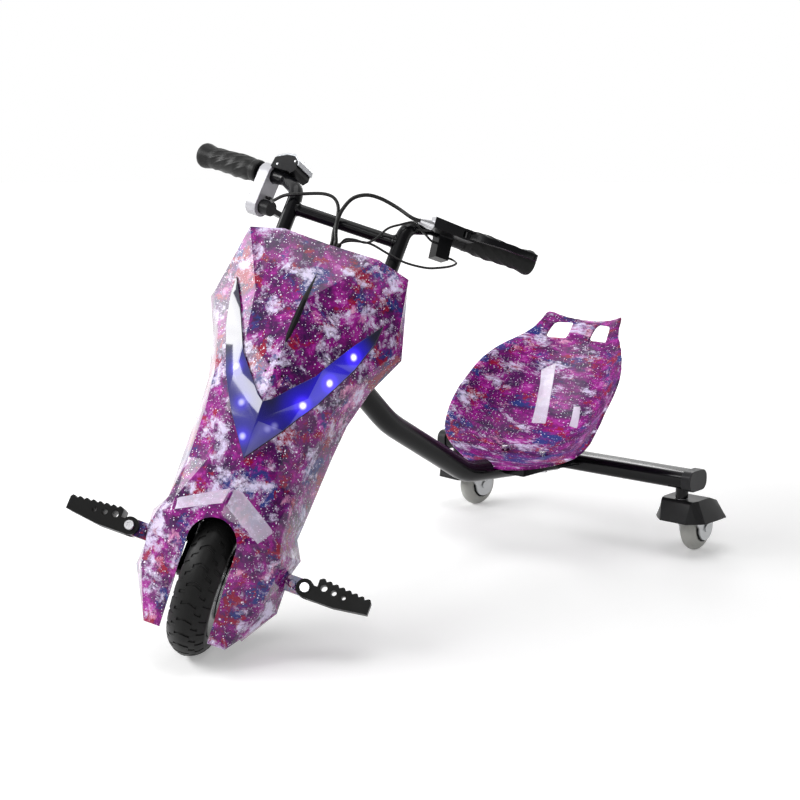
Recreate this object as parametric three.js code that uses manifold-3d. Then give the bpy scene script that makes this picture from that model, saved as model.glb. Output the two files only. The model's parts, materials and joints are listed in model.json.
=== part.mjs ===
// Electric drift trike for a child: a powered, steered front wheel in a moulded housing, a bent steel main
// tube, a low bucket seat over a rear crossbar, and two swivelling casters under the crossbar's ends.
// Millimetres, +Z up, the front faces -Y and +X is the rider's left. The front end stands turned to the left.
// Places on the front end are given as across, up the steering axis and ahead of it.
import * as THREE from 'three';
import { mergeVertices } from 'three/addons/utils/BufferGeometryUtils.js';
import Module from 'manifold-3d';

const wasm = await Module();
wasm.setup();

const degree = Math.PI / 180;

// Shared clearances
const gap = 0.3;
const overrun = 6;
const roundSides = 16;
const tubeSides = 12;
const wireSides = 6;
const bendStep = 20 * degree;

// Steering axis
const rake = 29.757 * degree;
const restTurn = 38.15 * degree;
const axleLead = 29;

// Front wheel and hub motor
const wheelRadius = 100;
const tyreWidth = 47;
const tyreSteps = 30;
const rimRadius = 64;
const beadHalfWidth = 18;
const rimLipHeight = 6;
const rimLipThickness = 3;
const motorWall = 4;
const axleRadius = 6;
const axleShoulderRadius = 9;
const axleEndLength = 16;
const statorHalfWidth = 13;
const statorGap = 2;
const brakePlateRadius = 48;
const brakePlateThickness = 3.6;
const brakeBossRadius = 10;
const nutRadius = 10;
const nutThickness = 8;

// Head tube, steerer and fork
const headTubeRadius = 19;
const headTubeLength = 70;
const headTubeDepth = 90;
const steererRadius = 12.7;
const steererClearance = 0.4;
const bearingHeight = 10;
const bearingRadius = 18;
const crownThickness = 6;
const crownHalfWidth = 86;
const crownBack = 20;
const crownFront = 50;
const crownCorner = 12;
const steererNutRadius = 18;
const steererNutHeight = 8;
const steererFootHeight = 8;
const legSpacing = 46;
const legRadius = 11;
const tubeWall = 2;
const legBottom = 126;
const dropoutThickness = 6;
const dropoutHalfWidth = 14;
const dropoutTop = 150;

// Handlebar
const barRadius = 9.5;
const riserSpacing = 73;
const riserLead = 36;
const riserRise = 68;
const barCornerAcross = 100;
const barCornerRise = 91;
const barCornerAhead = 0;
const barEndAcross = 229;
const barEndRise = 112;
const barEndAhead = -69;
const barBend = 26;
const braceRadius = 8;
const braceRise = 45;
const gripStart = 47;
const gripLength = 105.5;
const gripRadius = 17;
const gripCap = 4;

// Front housing
const shellBottom = 20;
const shellHeight = 500;
const shellHalfWidth = 126;
const shellDepth = 145;
const shellWall = 3;
const shellTopAhead = 45;
const archClearance = 6;
const archTop = 155;
const riserHoleClearance = 0.6;
const coverWall = 2.5;
const coverBack = 25;
const coverHalfWidth = 76;
const coverNotchHalfWidth = 37;
const coverNotchTop = 207;
const windowHalfWidth = 60;
const windowHalfHeight = 26;
const windowDrop = 8;

// Light, slit and speaker in the housing's face
const lightBottomShare = 0.42;
const lightHeightShare = 0.426;
const lightHalfWidth = 96;
const lensProud = 3;
const lensFlange = 3;
const lensFlangeThickness = 2;
const boardThickness = 1.6;
const slitBottomShare = 0.698;
const slitLengthShare = 0.208;
const slitHalfWidth = 3.6;
const slitProud = 1;
const speakerHeightShare = 0.636;
const speakerHoleRadius = 1.5;
const speakerHoleRing = 11.5;
const speakerHoleCount = 6;
const speakerRadius = 21;
const speakerDepth = 37;

// Electrics inside the housing
const batteryBottom = 211;
const batteryRoomShare = 0.72;
const batteryBack = -10;
const batteryDepth = 70;
const controllerHalfWidth = 30;
const controllerHeightShare = 0.765;
const controllerDepth = 22;
const chargePortHeightShare = 0.54;
const chargePortRadius = 9;
const chargeFlangeRadius = 13;
const chargeFlangeThickness = 3;
const chargePortDepth = 12;

// Foot pegs and their brackets
const pegHinge = 111;
const pegHeight = 119;
const pegLead = 38;
const pegReach = 80;
const pegHalfDepth = 14;
const pegRise = 18.5;
const pegBossRadius = 11;
const pegTeeth = 8;
const pegToothHeight = 2.5;
const pegHoleRadius = 4.2;
const bracketHalfDepth = 7;
const bracketEndRadius = 10;
const bracketRoot = 50;
const hingeBoltRadius = 3;
const hingeBoltHead = 6.5;
const sideBoltHead = 4.5;
const boltHeadThickness = 3.6;
const sideBoltInset = 16;

// Handlebar fittings, placed along the bar from its inner corner
const clampRadius = 14.5;
const clampStart = 29;
const throttleStart = 21;
const throttleThickness = 18;
const throttleDrop = 43;
const throttleTilt = 8 * degree;
const throttleFootRadius = 14.5;
const leverDrumRadius = 10;
const leverDrumLength = 16;
const leverPinRadius = 5;
const leverPinLength = 8;
const paddleLength = 34;
const paddleThickness = 7;
const podLength = 32;
const podRise = 28;
const podBase = 6;
const podHalfDepth = 17;
const podLensThickness = 3;
const perchStart = -17;
const perchTilt = -6 * degree;
const perchHalfHeight = 7;
const perchArmDepth = 43;
const perchLugDepth = 36;
const perchArmThickness = 13;
const brakePivotAlong = 38;
const brakePivotAhead = 27;
const brakePinRadius = 2.6;
const brakeBossHalf = 4;
const brakeLeverBoss = 7;
const brakeLeverReach = 94;
const brakeLeverOffset = 20;
const brakeLeverThickness = 7;
const brakeBallRadius = 4.9;
const adjusterLength = 18;
const adjusterRadius = 6.5;
const adjusterTipRadius = 4;
const adjusterAhead = 36;
const adjusterDrop = 4;
const switchStart = 9;
const switchLength = 19.6;
const switchClampRadius = 13.5;
const switchDrop = 37;
const buttonDropShare = 2 / 3;
const switchHalfDepth = 10;
const buttonRadius = 4.5;
const buttonDepth = 5;
const buttonProud = 2.5;

// Cables, with their routes in the front end's places: across, up from the housing's top, ahead
const brakeCableRadius = 2.5;
const throttleWireRadius = 2.2;
const switchWireRadius = 1.5;
const grommetRadius = 9;
const grommetHeight = 3;
const grommetNeckRadius = 6.5;
const grommetAhead = 60;
const brakeCableRoute = [[54, 86, 46], [30, 89, 50], [14, 86, 54], [0, 75, 58], [-7, 54, 62], [-7, 35, 64],
  [-3, 20, 65]];
const throttleWireRoute = [[-97, 45, 40], [-85, 53, 48], [-62, 60, 56], [-35, 68, 59], [-23, 67, 59],
  [-14.5, 59, 59], [-9.5, 42, 58], [-8, 25, 58], [-5.5, 14, 58]];
const upperWireRoute = [[95, 70, 34], [80, 74, 44], [66, 64, 50], [54, 53, 54], [45, 35, 57], [36, 25, 58],
  [20, 23, 60], [10, 20, 60], [6, 12, 60]];
const lowerWireRoute = [[146, 54, 6], [141, 43, 20], [129, 32, 33], [116, 24, 42], [89, 19, 50], [66, 22, 52],
  [40, 27.5, 51], [27, 26, 51], [12, 21, 52], [3.5, 13, 53]];
const brakeCableMouth = [0.5, 64.5];
const throttleWireMouth = [-5, 58];
const upperWireMouth = [4, 58];
const lowerWireMouth = [4, 55];
const wireSleeveRadius = 3.4;
const wireSleeveLength = 9;
const wireSleeveAcross = 4;
const wireSleeveAhead = 56.5;

// Rear frame
const mainTubeRadius = 16;
const firstBendBehind = 144.58;
const firstBendBelow = 139.3;
const firstBend = 150;
const secondBendBack = 527;
const secondBendHeight = 136.4;
const secondBend = 70;
const crossbarBack = 771.7;
const crossbarHeight = 118.8;
const crossbarHalfLength = 238;
const crossbarDepth = 44;
const crossbarThickness = 26;
const crossbarCorner = 10;
const endCapThickness = 5.7;
const endCapSleeve = 10;
const endCapWall = 2.5;
const gussetFront = 640;
const gussetHalfWidth = 52;
const gussetThickness = 4;
const gussetNarrow = 18;

// Seat
const seatHalfWidth = 144;
const seatFront = 578;
const seatLength = 258;
const seatBase = 138;
const seatHeight = 206;
const seatWall = 5;
const seatHoleAcross = 39;
const seatHoleHalfWidth = 17;
const seatHoleHeight = 317;
const seatHoleHalfHeight = 11;
const seatHoleBack = 812;
const saddleFront = 600;
const saddleLength = 130;
const saddleHalfWidth = 50;
const saddleBottom = 124;
const seatBoltAcross = 36;
const seatBoltRadius = 3;
const seatBoltHead = 7;
const seatBoltBack = 668;
const washerThickness = 2.6;

// Casters
const casterInset = 21.5;
const casterTrail = 45;
const rightCasterTurn = -6 * degree;
const casterRadius = 36.5;
const casterHalfWidth = 13;
const casterHubRadius = 18;
const casterFlangeRadius = 22;
const casterFlangeThickness = 1.2;
const stemRadius = 9.5;
const stemBottom = 88.9;
const kingpinRadius = 6;
const kingpinHeadRadius = 9;
const kingpinHeadThickness = 3;
const forkPlateTop = 85.2;
const forkPlateThickness = 3;
const forkPlateHalfLength = 9;
const forkBossRadius = 9.5;
const forkInnerHalfWidth = 15;
const forkLegThickness = 3;
const forkEndRadius = 19;
const casterAxleRadius = 4;
const casterAxleHead = 6.5;
const casterHeadThickness = 2.5;
const fenderHalfWidth = 44;
const fenderLength = 112;
const fenderLead = 24;
const fenderTop = 88;
const fenderHeight = 33;
const fenderWall = 2.5;

// Finishes
const blackPaint = { color: 0x0d0d10, roughness: 0.32, metalness: 0.5 };
const printedPlastic = { color: 0x8a2f86, roughness: 0.25, metalness: 0 };
const blackPlastic = { color: 0x141416, roughness: 0.5, metalness: 0 };
const greyPlastic = { color: 0x2c2d30, roughness: 0.6, metalness: 0 };
const lightGreyPlastic = { color: 0xb9b9bd, roughness: 0.35, metalness: 0.2 };
const clearPlastic = { color: 0xdfe3e6, roughness: 0.1, metalness: 0 };
const blueLens = { color: 0x14107a, roughness: 0.08, metalness: 0 };
const rubber = { color: 0x0f0f10, roughness: 0.85, metalness: 0 };
const palePolyurethane = { color: 0xcfcfca, roughness: 0.45, metalness: 0 };
const steel = { color: 0xb4b6ba, roughness: 0.3, metalness: 1 };
const greenBoard = { color: 0x1c5a33, roughness: 0.5, metalness: 0 };
const blueWrap = { color: 0x1f4c8f, roughness: 0.45, metalness: 0 };

// Sizes that follow from the ones above
const leanAtRest = Math.asin(Math.sin(rake) * Math.sin(restTurn));
const tyreCrown = tyreWidth / 2;
const axleRestHeight = (wheelRadius - tyreCrown) * Math.cos(leanAtRest) + tyreCrown;
const axleHeight = (axleRestHeight - axleLead * Math.sin(rake) * Math.cos(restTurn)) / Math.cos(rake);
const motorHalfWidth = beadHalfWidth + rimLipThickness + gap;
const dropoutInner = legSpacing - legRadius + gap;
const shellTop = shellBottom + shellHeight;
const headTubeMiddle = shellTop - headTubeDepth;
const headTubeBottom = headTubeMiddle - headTubeLength / 2;
const headTubeTop = headTubeMiddle + headTubeLength / 2;
const lowerCrownTop = headTubeBottom - bearingHeight - 2 * gap;
const upperCrownBottom = headTubeTop + bearingHeight + 2 * gap;
const riserTop = shellTop + riserRise;
const speakerHeight = shellBottom + speakerHeightShare * shellHeight;
const speakerBack = shellDepth - speakerDepth;
const chargePortHeight = shellBottom + chargePortHeightShare * shellHeight;
const batteryRoom = lowerCrownTop - crownThickness - steererFootHeight - batteryBottom;
const batteryHeight = batteryRoomShare * batteryRoom;
const crossbarFront = crossbarBack - crossbarDepth / 2;
const crossbarBottom = crossbarHeight - crossbarThickness / 2;

// World directions that a drawn outline's x, y and thickness are laid along
const axisX = new THREE.Vector3(1, 0, 0);
const axisY = new THREE.Vector3(0, 1, 0);
const axisZ = new THREE.Vector3(0, 0, 1);
const acrossBike = new THREE.Matrix4().makeBasis(axisY, axisZ, axisX);
const towardsFront = new THREE.Matrix4().makeBasis(axisX, axisZ, axisY.clone().negate());

// A closed geometry with shared corners, its faces pointing out.
function closedBody(geometry) {
  geometry.deleteAttribute('normal');
  geometry.deleteAttribute('uv');
  const merged = mergeVertices(geometry);
  const place = merged.attributes.position;
  const corners = merged.index.array;
  const points = [new THREE.Vector3(), new THREE.Vector3(), new THREE.Vector3()];
  const kept = [];
  let volume = 0;
  for (let i = 0; i < corners.length; i += 3) {
    const face = [corners[i], corners[i + 1], corners[i + 2]];
    if (new Set(face).size === 3) {
      kept.push(...face);
      points.forEach((point, k) => point.fromBufferAttribute(place, face[k]));
      volume += points[0].dot(points[1].cross(points[2]));
    }
  }
  if (volume < 0) kept.reverse();
  const body = new THREE.BufferGeometry();
  body.setAttribute('position', place);
  body.setIndex(kept);
  return body;
}

function solid(geometry) {
  const body = closedBody(geometry);
  return new wasm.Manifold(new wasm.Mesh({
    numProp: 3,
    vertProperties: new Float32Array(body.attributes.position.array),
    triVerts: new Uint32Array(body.index.array),
  }));
}

function geometryOf(shape) {
  const mesh = shape.getMesh();
  const geometry = new THREE.BufferGeometry();
  geometry.setAttribute('position', new THREE.BufferAttribute(new Float32Array(mesh.vertProperties), 3));
  geometry.setIndex(new THREE.BufferAttribute(new Uint32Array(mesh.triVerts), 1));
  return geometry;
}

const cut = (base, ...tools) =>
  geometryOf(tools.reduce((rest, tool) => rest.subtract(solid(tool)), solid(base)));
const join = (base, ...others) =>
  geometryOf(others.reduce((sum, other) => sum.add(solid(other)), solid(base)));
const overlap = (base, other) => geometryOf(solid(base).intersect(solid(other)));

function part(name, geometry, finish) {
  const mesh = new THREE.Mesh(closedBody(geometry), new THREE.MeshStandardMaterial(finish));
  mesh.name = name;
  return mesh;
}

function block(low, high) {
  const size = new THREE.Vector3(...high).sub(new THREE.Vector3(...low));
  const middle = new THREE.Vector3(...high).add(new THREE.Vector3(...low)).multiplyScalar(1 / 2);
  return new THREE.BoxGeometry(size.x, size.y, size.z).translate(middle.x, middle.y, middle.z);
}

// A prism of an outline, laid by one of the direction matrices, from one depth to another.
function prism(outline, laid, from, to) {
  const drawn = Array.isArray(outline);
  const shape = drawn ? new THREE.Shape(outline.map((place) => new THREE.Vector2(...place))) : outline;
  const settings = { depth: to - from, bevelEnabled: false, curveSegments: roundSides / 2 };
  return new THREE.ExtrudeGeometry(shape, settings).translate(0, 0, from).applyMatrix4(laid);
}

// A turned piece: [radius, place along the axis] points, closed on the axis or on themselves.
function turned(profile, axis, steps = roundSides) {
  const points = profile.map(([radius, along]) => new THREE.Vector2(radius, along));
  const geometry = new THREE.LatheGeometry(points, steps);
  if (axis === 'up') return geometry.rotateX(Math.PI / 2);
  if (axis === 'across') return geometry.rotateZ(-Math.PI / 2);
  return geometry.rotateX(Math.PI);
}

const rod = (radius, from, to, axis, steps) =>
  turned([[0, from], [radius, from], [radius, to], [0, to]], axis, steps);
const collar = (bore, radius, from, to, axis, steps) =>
  turned([[bore, from], [radius, from], [radius, to], [bore, to], [bore, from]], axis, steps);

function ring(radius, sides) {
  const points = [];
  for (let i = 0; i < sides; i++) {
    const angle = 2 * Math.PI * i / sides;
    points.push(new THREE.Vector2(radius * Math.cos(angle), radius * Math.sin(angle)));
  }
  return points;
}

// A centre line known at its stations only, so that straight runs need no sections in between.
class StationLine extends THREE.Curve {
  constructor(stations) {
    super();
    this.stations = stations;
  }

  nearest(share) {
    return this.stations[Math.round(share * (this.stations.length - 1))];
  }

  getPointAt(share) {
    return this.nearest(share).place.clone();
  }

  getTangentAt(share) {
    return this.nearest(share).heading.clone();
  }
}

// Straight runs between corners, joined by arcs of the given radii.
function bentLine(corners, bends) {
  const heading = (i) => corners[i + 1].clone().sub(corners[i]).normalize();
  const stations = [{ place: corners[0], heading: heading(0) }];
  for (let i = 1; i < corners.length - 1; i++) {
    const bend = bends[i - 1];
    const before = heading(i - 1);
    const after = heading(i);
    const turn = before.angleTo(after);
    const axle = before.clone().cross(after).normalize();
    const towardsCentre = axle.clone().cross(before).multiplyScalar(bend);
    const start = corners[i].clone().addScaledVector(before, -bend * Math.tan(turn / 2));
    const centre = start.clone().add(towardsCentre);
    const pieces = Math.max(2, Math.round(turn / bendStep));
    for (let step = 0; step <= pieces; step++) {
      const angle = turn * step / pieces;
      const place = start.clone().sub(centre).applyAxisAngle(axle, angle).add(centre);
      stations.push({ place, heading: before.clone().applyAxisAngle(axle, angle) });
    }
  }
  stations.push({ place: corners.at(-1), heading: heading(corners.length - 2) });
  return new StationLine(stations);
}

function sweptTube(line, radius, bore, sides, steps = line.stations.length - 1) {
  const shape = new THREE.Shape(ring(radius, sides));
  if (bore) shape.holes.push(new THREE.Path(ring(bore, sides)));
  return new THREE.ExtrudeGeometry(shape, { steps, extrudePath: line, bevelEnabled: false });
}

// An outline moved outwards by a distance, each corner along its bisector.
function grown(outline, distance) {
  const count = outline.length;
  let area = 0;
  outline.forEach(([x, y], i) => {
    const [nextX, nextY] = outline[(i + 1) % count];
    area += x * nextY - nextX * y;
  });
  const turn = Math.sign(area);
  const normal = (from, to) =>
    new THREE.Vector2(to[1] - from[1], from[0] - to[0]).normalize().multiplyScalar(turn);
  return outline.map((point, i) => {
    const before = normal(outline[(i + count - 1) % count], point);
    const after = normal(point, outline[(i + 1) % count]);
    const bisector = before.clone().add(after).normalize();
    const reach = distance / Math.max(bisector.dot(after), 1 / 2);
    return [point[0] + bisector.x * reach, point[1] + bisector.y * reach];
  });
}

function mirrored(half) {
  const otherHalf = half.slice().reverse().filter(([x]) => x !== 0);
  return [...half, ...otherHalf.map(([x, y]) => [-x, y])];
}

// Places on the front end: across, up the axis and ahead of it
const front = (across, up, ahead) => new THREE.Vector3(across, -ahead, up);

// Front housing: a net of points from its back rim to its middle, bottom row first
const shellRowShares = [
  [[0.43, 0.03, 0.055], [0.46, 0.02, 0.275], [0.4, 0, 0.48], [0.3, 0, 0.525], [0, 0, 0.54]],
  [[0.64, 0.12, 0.055], [0.71, 0.12, 0.275], [0.59, 0.12, 0.59], [0.34, 0.12, 0.69], [0, 0.12, 0.74]],
  [[0.66, 0.21, 0.055], [0.7, 0.21, 0.275], [0.64, 0.21, 0.66], [0.36, 0.21, 0.8], [0, 0.21, 0.88]],
  [[0.64, 0.26, 0.055], [0.75, 0.255, 0.275], [0.6, 0.245, 0.72], [0.44, 0.25, 0.83], [0, 0.31, 0.91]],
  [[0.54, 0.3, 0.055], [0.65, 0.3, 0.275], [0.56, 0.285, 0.68], [0.48, 0.285, 0.77], [0, 0.35, 0.81]],
  [[0.575, 0.39, 0.055], [0.67, 0.39, 0.29], [0.53, 0.39, 0.635], [0.33, 0.39, 0.77], [0, 0.39, 0.82]],
  [[0.605, 0.51, 0.055], [0.69, 0.51, 0.29], [0.55, 0.51, 0.65], [0.33, 0.51, 0.83], [0, 0.51, 0.925]],
  [[0.645, 0.6, 0.055], [0.72, 0.6, 0.29], [0.59, 0.6, 0.67], [0.36, 0.6, 0.855], [0, 0.62, 1]],
  [[0.745, 0.7, 0.055], [0.82, 0.7, 0.29], [0.72, 0.7, 0.61], [0.4, 0.7, 0.84], [0, 0.7, 0.985]],
  [[0.93, 0.8, 0.055], [1, 0.8, 0.29], [0.94, 0.8, 0.455], [0.5, 0.82, 0.73], [0, 0.82, 0.875]],
  [[0.78, 0.98, 0.055], [0.82, 0.97, 0.29], [0.82, 0.98, 0.55], [0.49, 1, 0.59], [0, 0.995, 0.61]],
];
const shellColumnDirectionShares = [[1, 0], [1, 0], [0.7, 0.7], [0.25, 1], [0, 1]];
const coverFirstRow = 4;

// The housing's outer form, moved outwards by a distance. backReach and bottomReach open it behind and below.
function shellForm(outwards, backReach, bottomReach) {
  const rings = shellRowShares.map((row, r) => {
    const rise = r === 0 ? -bottomReach : (r === shellRowShares.length - 1 ? outwards : 0);
    const half = row.map(([across, up, ahead], c) => {
      const [sideways, forwards] = shellColumnDirectionShares[c];
      const back = c === 0 ? backReach : 0;
      return [shellHalfWidth * across + outwards * sideways, shellBottom + shellHeight * up + rise,
        shellDepth * ahead + outwards * forwards - back];
    });
    const otherHalf = half.slice(0, -1).reverse().map(([across, up, ahead]) => [-across, up, ahead]);
    return [...half, ...otherHalf].map((place) => front(...place));
  });
  const count = rings[0].length;
  const bottomMiddle = front(0, shellBottom - bottomReach, shellTopAhead);
  const topMiddle = front(0, shellTop + outwards, shellTopAhead);
  const points = [...rings.flat(), bottomMiddle, topMiddle];
  const faces = [];
  for (let r = 0; r < rings.length - 1; r++) {
    for (let i = 0; i < count; i++) {
      const next = (i + 1) % count;
      const [a, b, c, d] = [r * count + i, r * count + next, (r + 1) * count + next, (r + 1) * count + i];
      if (i < (count - 1) / 2) faces.push(a, b, d, b, c, d);
      else faces.push(a, b, c, a, c, d);
    }
  }
  const lastRow = (rings.length - 1) * count;
  for (let i = 0; i < count; i++) {
    const next = (i + 1) % count;
    faces.push(next, i, points.length - 2);
    faces.push(lastRow + i, lastRow + next, points.length - 1);
  }
  const geometry = new THREE.BufferGeometry();
  geometry.setAttribute('position', new THREE.Float32BufferAttribute(points.flatMap((p) => p.toArray()), 3));
  geometry.setIndex(faces);
  return geometry;
}

// The part of the housing's skin inside an outline on its face, between two distances from the outer form
function skinPatch(outline, outer, inner) {
  const column = prism(outline, towardsFront, riserLead, shellDepth + overrun + outer);
  return cut(overlap(column, shellForm(outer, 0, 0)), shellForm(inner, overrun, 0));
}

// An outline on the housing's face, from its foot and height as shares of the housing's height
function faceOutline(halfShares, halfWidth, footShare, heightShare) {
  const up = (share) => shellBottom + (footShare + share * heightShare) * shellHeight;
  return mirrored(halfShares.map(([x, y]) => [x * halfWidth, up(y)]));
}

const lightHalfShares = [[0, 0], [0.33, 0.21], [0.6, 0.42], [0.855, 0.69], [0.97, 0.88], [0.99, 1],
  [0.76, 0.82], [0.47, 0.555], [0.09, 0.345], [0, 0.315]];
const lightOutline = faceOutline(lightHalfShares, lightHalfWidth, lightBottomShare, lightHeightShare);
const slitHalfShares = [[0, 0], [0.7, 0.12], [1, 0.35], [0.75, 0.65], [0, 1]];
const slitOutline = faceOutline(slitHalfShares, slitHalfWidth, slitBottomShare, slitLengthShare);

function archOutline() {
  const half = tyreWidth / 2 + archClearance;
  const shape = new THREE.Shape();
  shape.moveTo(-half, shellBottom - 2 * overrun);
  shape.lineTo(half, shellBottom - 2 * overrun);
  shape.absarc(0, archTop - half, half, 0, Math.PI, false);
  return shape;
}

function bracketWindow(side) {
  const [inner, outer] = [side * legSpacing, side * shellHalfWidth].sort((a, b) => a - b);
  const [depth, height] = [bracketHalfDepth + gap, bracketEndRadius + gap];
  return block([inner, -pegLead - depth, pegHeight - height], [outer, -pegLead + depth, pegHeight + height]);
}

function speakerHoles() {
  const holes = [];
  for (let i = 0; i <= speakerHoleCount; i++) {
    const angle = 2 * Math.PI * i / speakerHoleCount;
    const out = i < speakerHoleCount ? speakerHoleRing : 0;
    const hole = rod(speakerHoleRadius, speakerBack, shellDepth + overrun, 'ahead', wireSides);
    holes.push(hole.translate(out * Math.sin(angle), 0, speakerHeight + out * Math.cos(angle)));
  }
  return holes;
}

function riserTool(side) {
  const hole = rod(barRadius + riserHoleClearance, riserTop - shellHeight / 4, riserTop, 'up', tubeSides);
  return hole.translate(side * riserSpacing, -riserLead, 0);
}

function frontShell() {
  const hollow = cut(shellForm(0, 0, 0), shellForm(-shellWall, overrun, overrun));
  const arch = prism(archOutline(), towardsFront, riserLead, shellDepth + overrun);
  const light = prism(grown(lightOutline, gap), towardsFront, riserLead, shellDepth + overrun);
  const slit = prism(grown(slitOutline, gap), towardsFront, riserLead, shellDepth + overrun);
  const grommetHole = rod(grommetNeckRadius + gap, shellTop - overrun, shellTop + overrun, 'up');
  return cut(hollow, arch, light, slit, bracketWindow(1), bracketWindow(-1), riserTool(1), riserTool(-1),
    grommetHole.translate(0, -grommetAhead, 0), ...speakerHoles());
}

function lightLens() {
  const flangeFace = -shellWall - gap;
  const lens = skinPatch(lightOutline, lensProud, flangeFace - lensFlangeThickness);
  const flange = skinPatch(grown(lightOutline, lensFlange), flangeFace, flangeFace - lensFlangeThickness);
  return join(lens, flange);
}

function lightBoard() {
  const face = -shellWall - 2 * gap - lensFlangeThickness;
  return skinPatch(lightOutline, face, face - boardThickness);
}

function speaker() {
  const can = rod(speakerRadius, speakerBack, shellDepth + overrun, 'ahead').translate(0, 0, speakerHeight);
  return overlap(can, shellForm(-shellWall - gap, 0, 0));
}

function rearCover() {
  const rim = shellRowShares.slice(coverFirstRow).map((row) => row[0]);
  const side = rim.map(([across, up]) => [across * shellHalfWidth, shellBottom + up * shellHeight]);
  const foot = side[0][1];
  const notch = [[coverNotchHalfWidth, coverNotchTop], [coverNotchHalfWidth, foot]];
  const plateOutline = mirrored([...notch, ...side]);
  const traySide = side.map(([across, up]) => [Math.min(across, coverHalfWidth), up]);
  const trayOutline = mirrored([...notch, ...traySide]);
  const rimAhead = shellRowShares[0][0][2] * shellDepth - gap;
  const plate = prism(grown(plateOutline, -gap), towardsFront, rimAhead - coverWall, rimAhead);
  const tray = prism(grown(trayOutline, -gap), towardsFront, -coverBack, rimAhead);
  const trayInside = grown(trayOutline, -coverWall);
  const hollow = prism(trayInside, towardsFront, coverWall - coverBack, rimAhead + overrun);
  const middle = headTubeMiddle - windowDrop;
  const window = block([-windowHalfWidth, coverBack - 2 * coverWall, middle - windowHalfHeight],
    [windowHalfWidth, coverBack + overrun, middle + windowHalfHeight]);
  const port = rod(chargePortRadius + gap, -coverBack - overrun, 0, 'ahead');
  return cut(join(plate, tray), hollow, window, port.translate(0, 0, chargePortHeight));
}

function chargePort() {
  const flangeBack = -coverBack - gap - chargeFlangeThickness;
  return turned([[0, flangeBack], [chargeFlangeRadius, flangeBack], [chargeFlangeRadius, -coverBack - gap],
    [chargePortRadius, -coverBack - gap], [chargePortRadius, -coverBack + chargePortDepth],
    [0, -coverBack + chargePortDepth]], 'ahead').translate(0, 0, chargePortHeight);
}

function battery() {
  const half = legSpacing - legRadius - gap;
  const top = batteryBottom + batteryHeight;
  return block([-half, -batteryBack - batteryDepth, batteryBottom], [half, -batteryBack, top]);
}

function controller() {
  const back = -batteryBack - batteryDepth - gap;
  const middle = batteryBottom + batteryHeight / 2;
  const halfHeight = controllerHeightShare * batteryHeight / 2;
  return block([-controllerHalfWidth, back - controllerDepth, middle - halfHeight],
    [controllerHalfWidth, back, middle + halfHeight]);
}

// Fork and head set
function crown(bottom, holes) {
  const shape = new THREE.Shape();
  const [x, y, corner] = [crownHalfWidth, crownFront, crownCorner];
  shape.moveTo(-steererNutRadius - corner, crownBack);
  shape.lineTo(steererNutRadius + corner, crownBack);
  shape.lineTo(x, 2 * corner - y);
  shape.lineTo(x, corner - y);
  shape.lineTo(x - corner, -y);
  shape.lineTo(corner - x, -y);
  shape.lineTo(-x, corner - y);
  shape.lineTo(-x, 2 * corner - y);
  return cut(prism(shape, new THREE.Matrix4(), bottom, bottom + crownThickness), ...holes);
}

function fork() {
  const upright = (radius, across, ahead) =>
    rod(radius, shellBottom, shellTop, 'up').translate(across, -ahead, 0);
  const stem = upright(steererRadius + gap, 0, 0);
  const leftLegBore = upright(legRadius - tubeWall / 2, legSpacing, axleLead);
  const rightLegBore = upright(legRadius - tubeWall / 2, -legSpacing, axleLead);
  const upper = crown(upperCrownBottom, [stem, upright(barRadius + gap, riserSpacing, riserLead),
    upright(barRadius + gap, -riserSpacing, riserLead)]);
  const lower = crown(lowerCrownTop - crownThickness, [stem, leftLegBore, rightLegBore]);
  return join(lower, upper, forkLeg(1), forkLeg(-1));
}

function steerer() {
  const bottom = lowerCrownTop - crownThickness - gap;
  const top = upperCrownBottom + crownThickness + gap + steererNutHeight;
  return turned([[0, bottom - steererFootHeight], [steererNutRadius, bottom - steererFootHeight],
    [steererNutRadius, bottom], [steererRadius, bottom], [steererRadius, top], [0, top]], 'up');
}

function hexNut(bore, radius, from, to, axis) {
  return cut(rod(radius, from, to, axis, 6), rod(bore, from - overrun, to + overrun, axis));
}

function steererNut() {
  const bottom = upperCrownBottom + crownThickness + gap;
  return hexNut(steererRadius + gap, steererNutRadius, bottom, bottom + steererNutHeight, 'up');
}

const bearing = (bottom) =>
  collar(steererRadius + steererClearance, bearingRadius, bottom, bottom + bearingHeight, 'up');

function forkLeg(side) {
  const tube = collar(legRadius - tubeWall, legRadius, legBottom, upperCrownBottom + gap, 'up', tubeSides);
  const shape = new THREE.Shape();
  shape.moveTo(dropoutHalfWidth, dropoutTop);
  shape.lineTo(-dropoutHalfWidth, dropoutTop);
  shape.absarc(0, axleHeight, dropoutHalfWidth, Math.PI, 2 * Math.PI, false);
  const outer = dropoutInner + dropoutThickness;
  const plate = prism(shape, acrossBike, ...[side * dropoutInner, side * outer].sort((a, b) => a - b));
  const hole = rod(axleRadius + gap, -shellHalfWidth, shellHalfWidth, 'across').translate(0, 0, axleHeight);
  return cut(join(tube.translate(side * legSpacing, 0, 0), plate), hole).translate(0, -axleLead, 0);
}

// Front wheel, centred on its axle
function tyre() {
  const half = tyreWidth / 2;
  const height = wheelRadius - rimRadius;
  const profileShares = [[0, 0.74], [0.18, 0.765], [0.3, 0.96], [0.45, 1], [0.7, 0.85], [0.907, 0.5], [1, 0]];
  const right = profileShares.map(([out, across]) => [rimRadius + out * height, across * half]);
  const left = right.slice(0, -1).reverse().map(([radius, across]) => [radius, -across]);
  return turned([...right, ...left, right[0]], 'across', tyreSteps);
}

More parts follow.
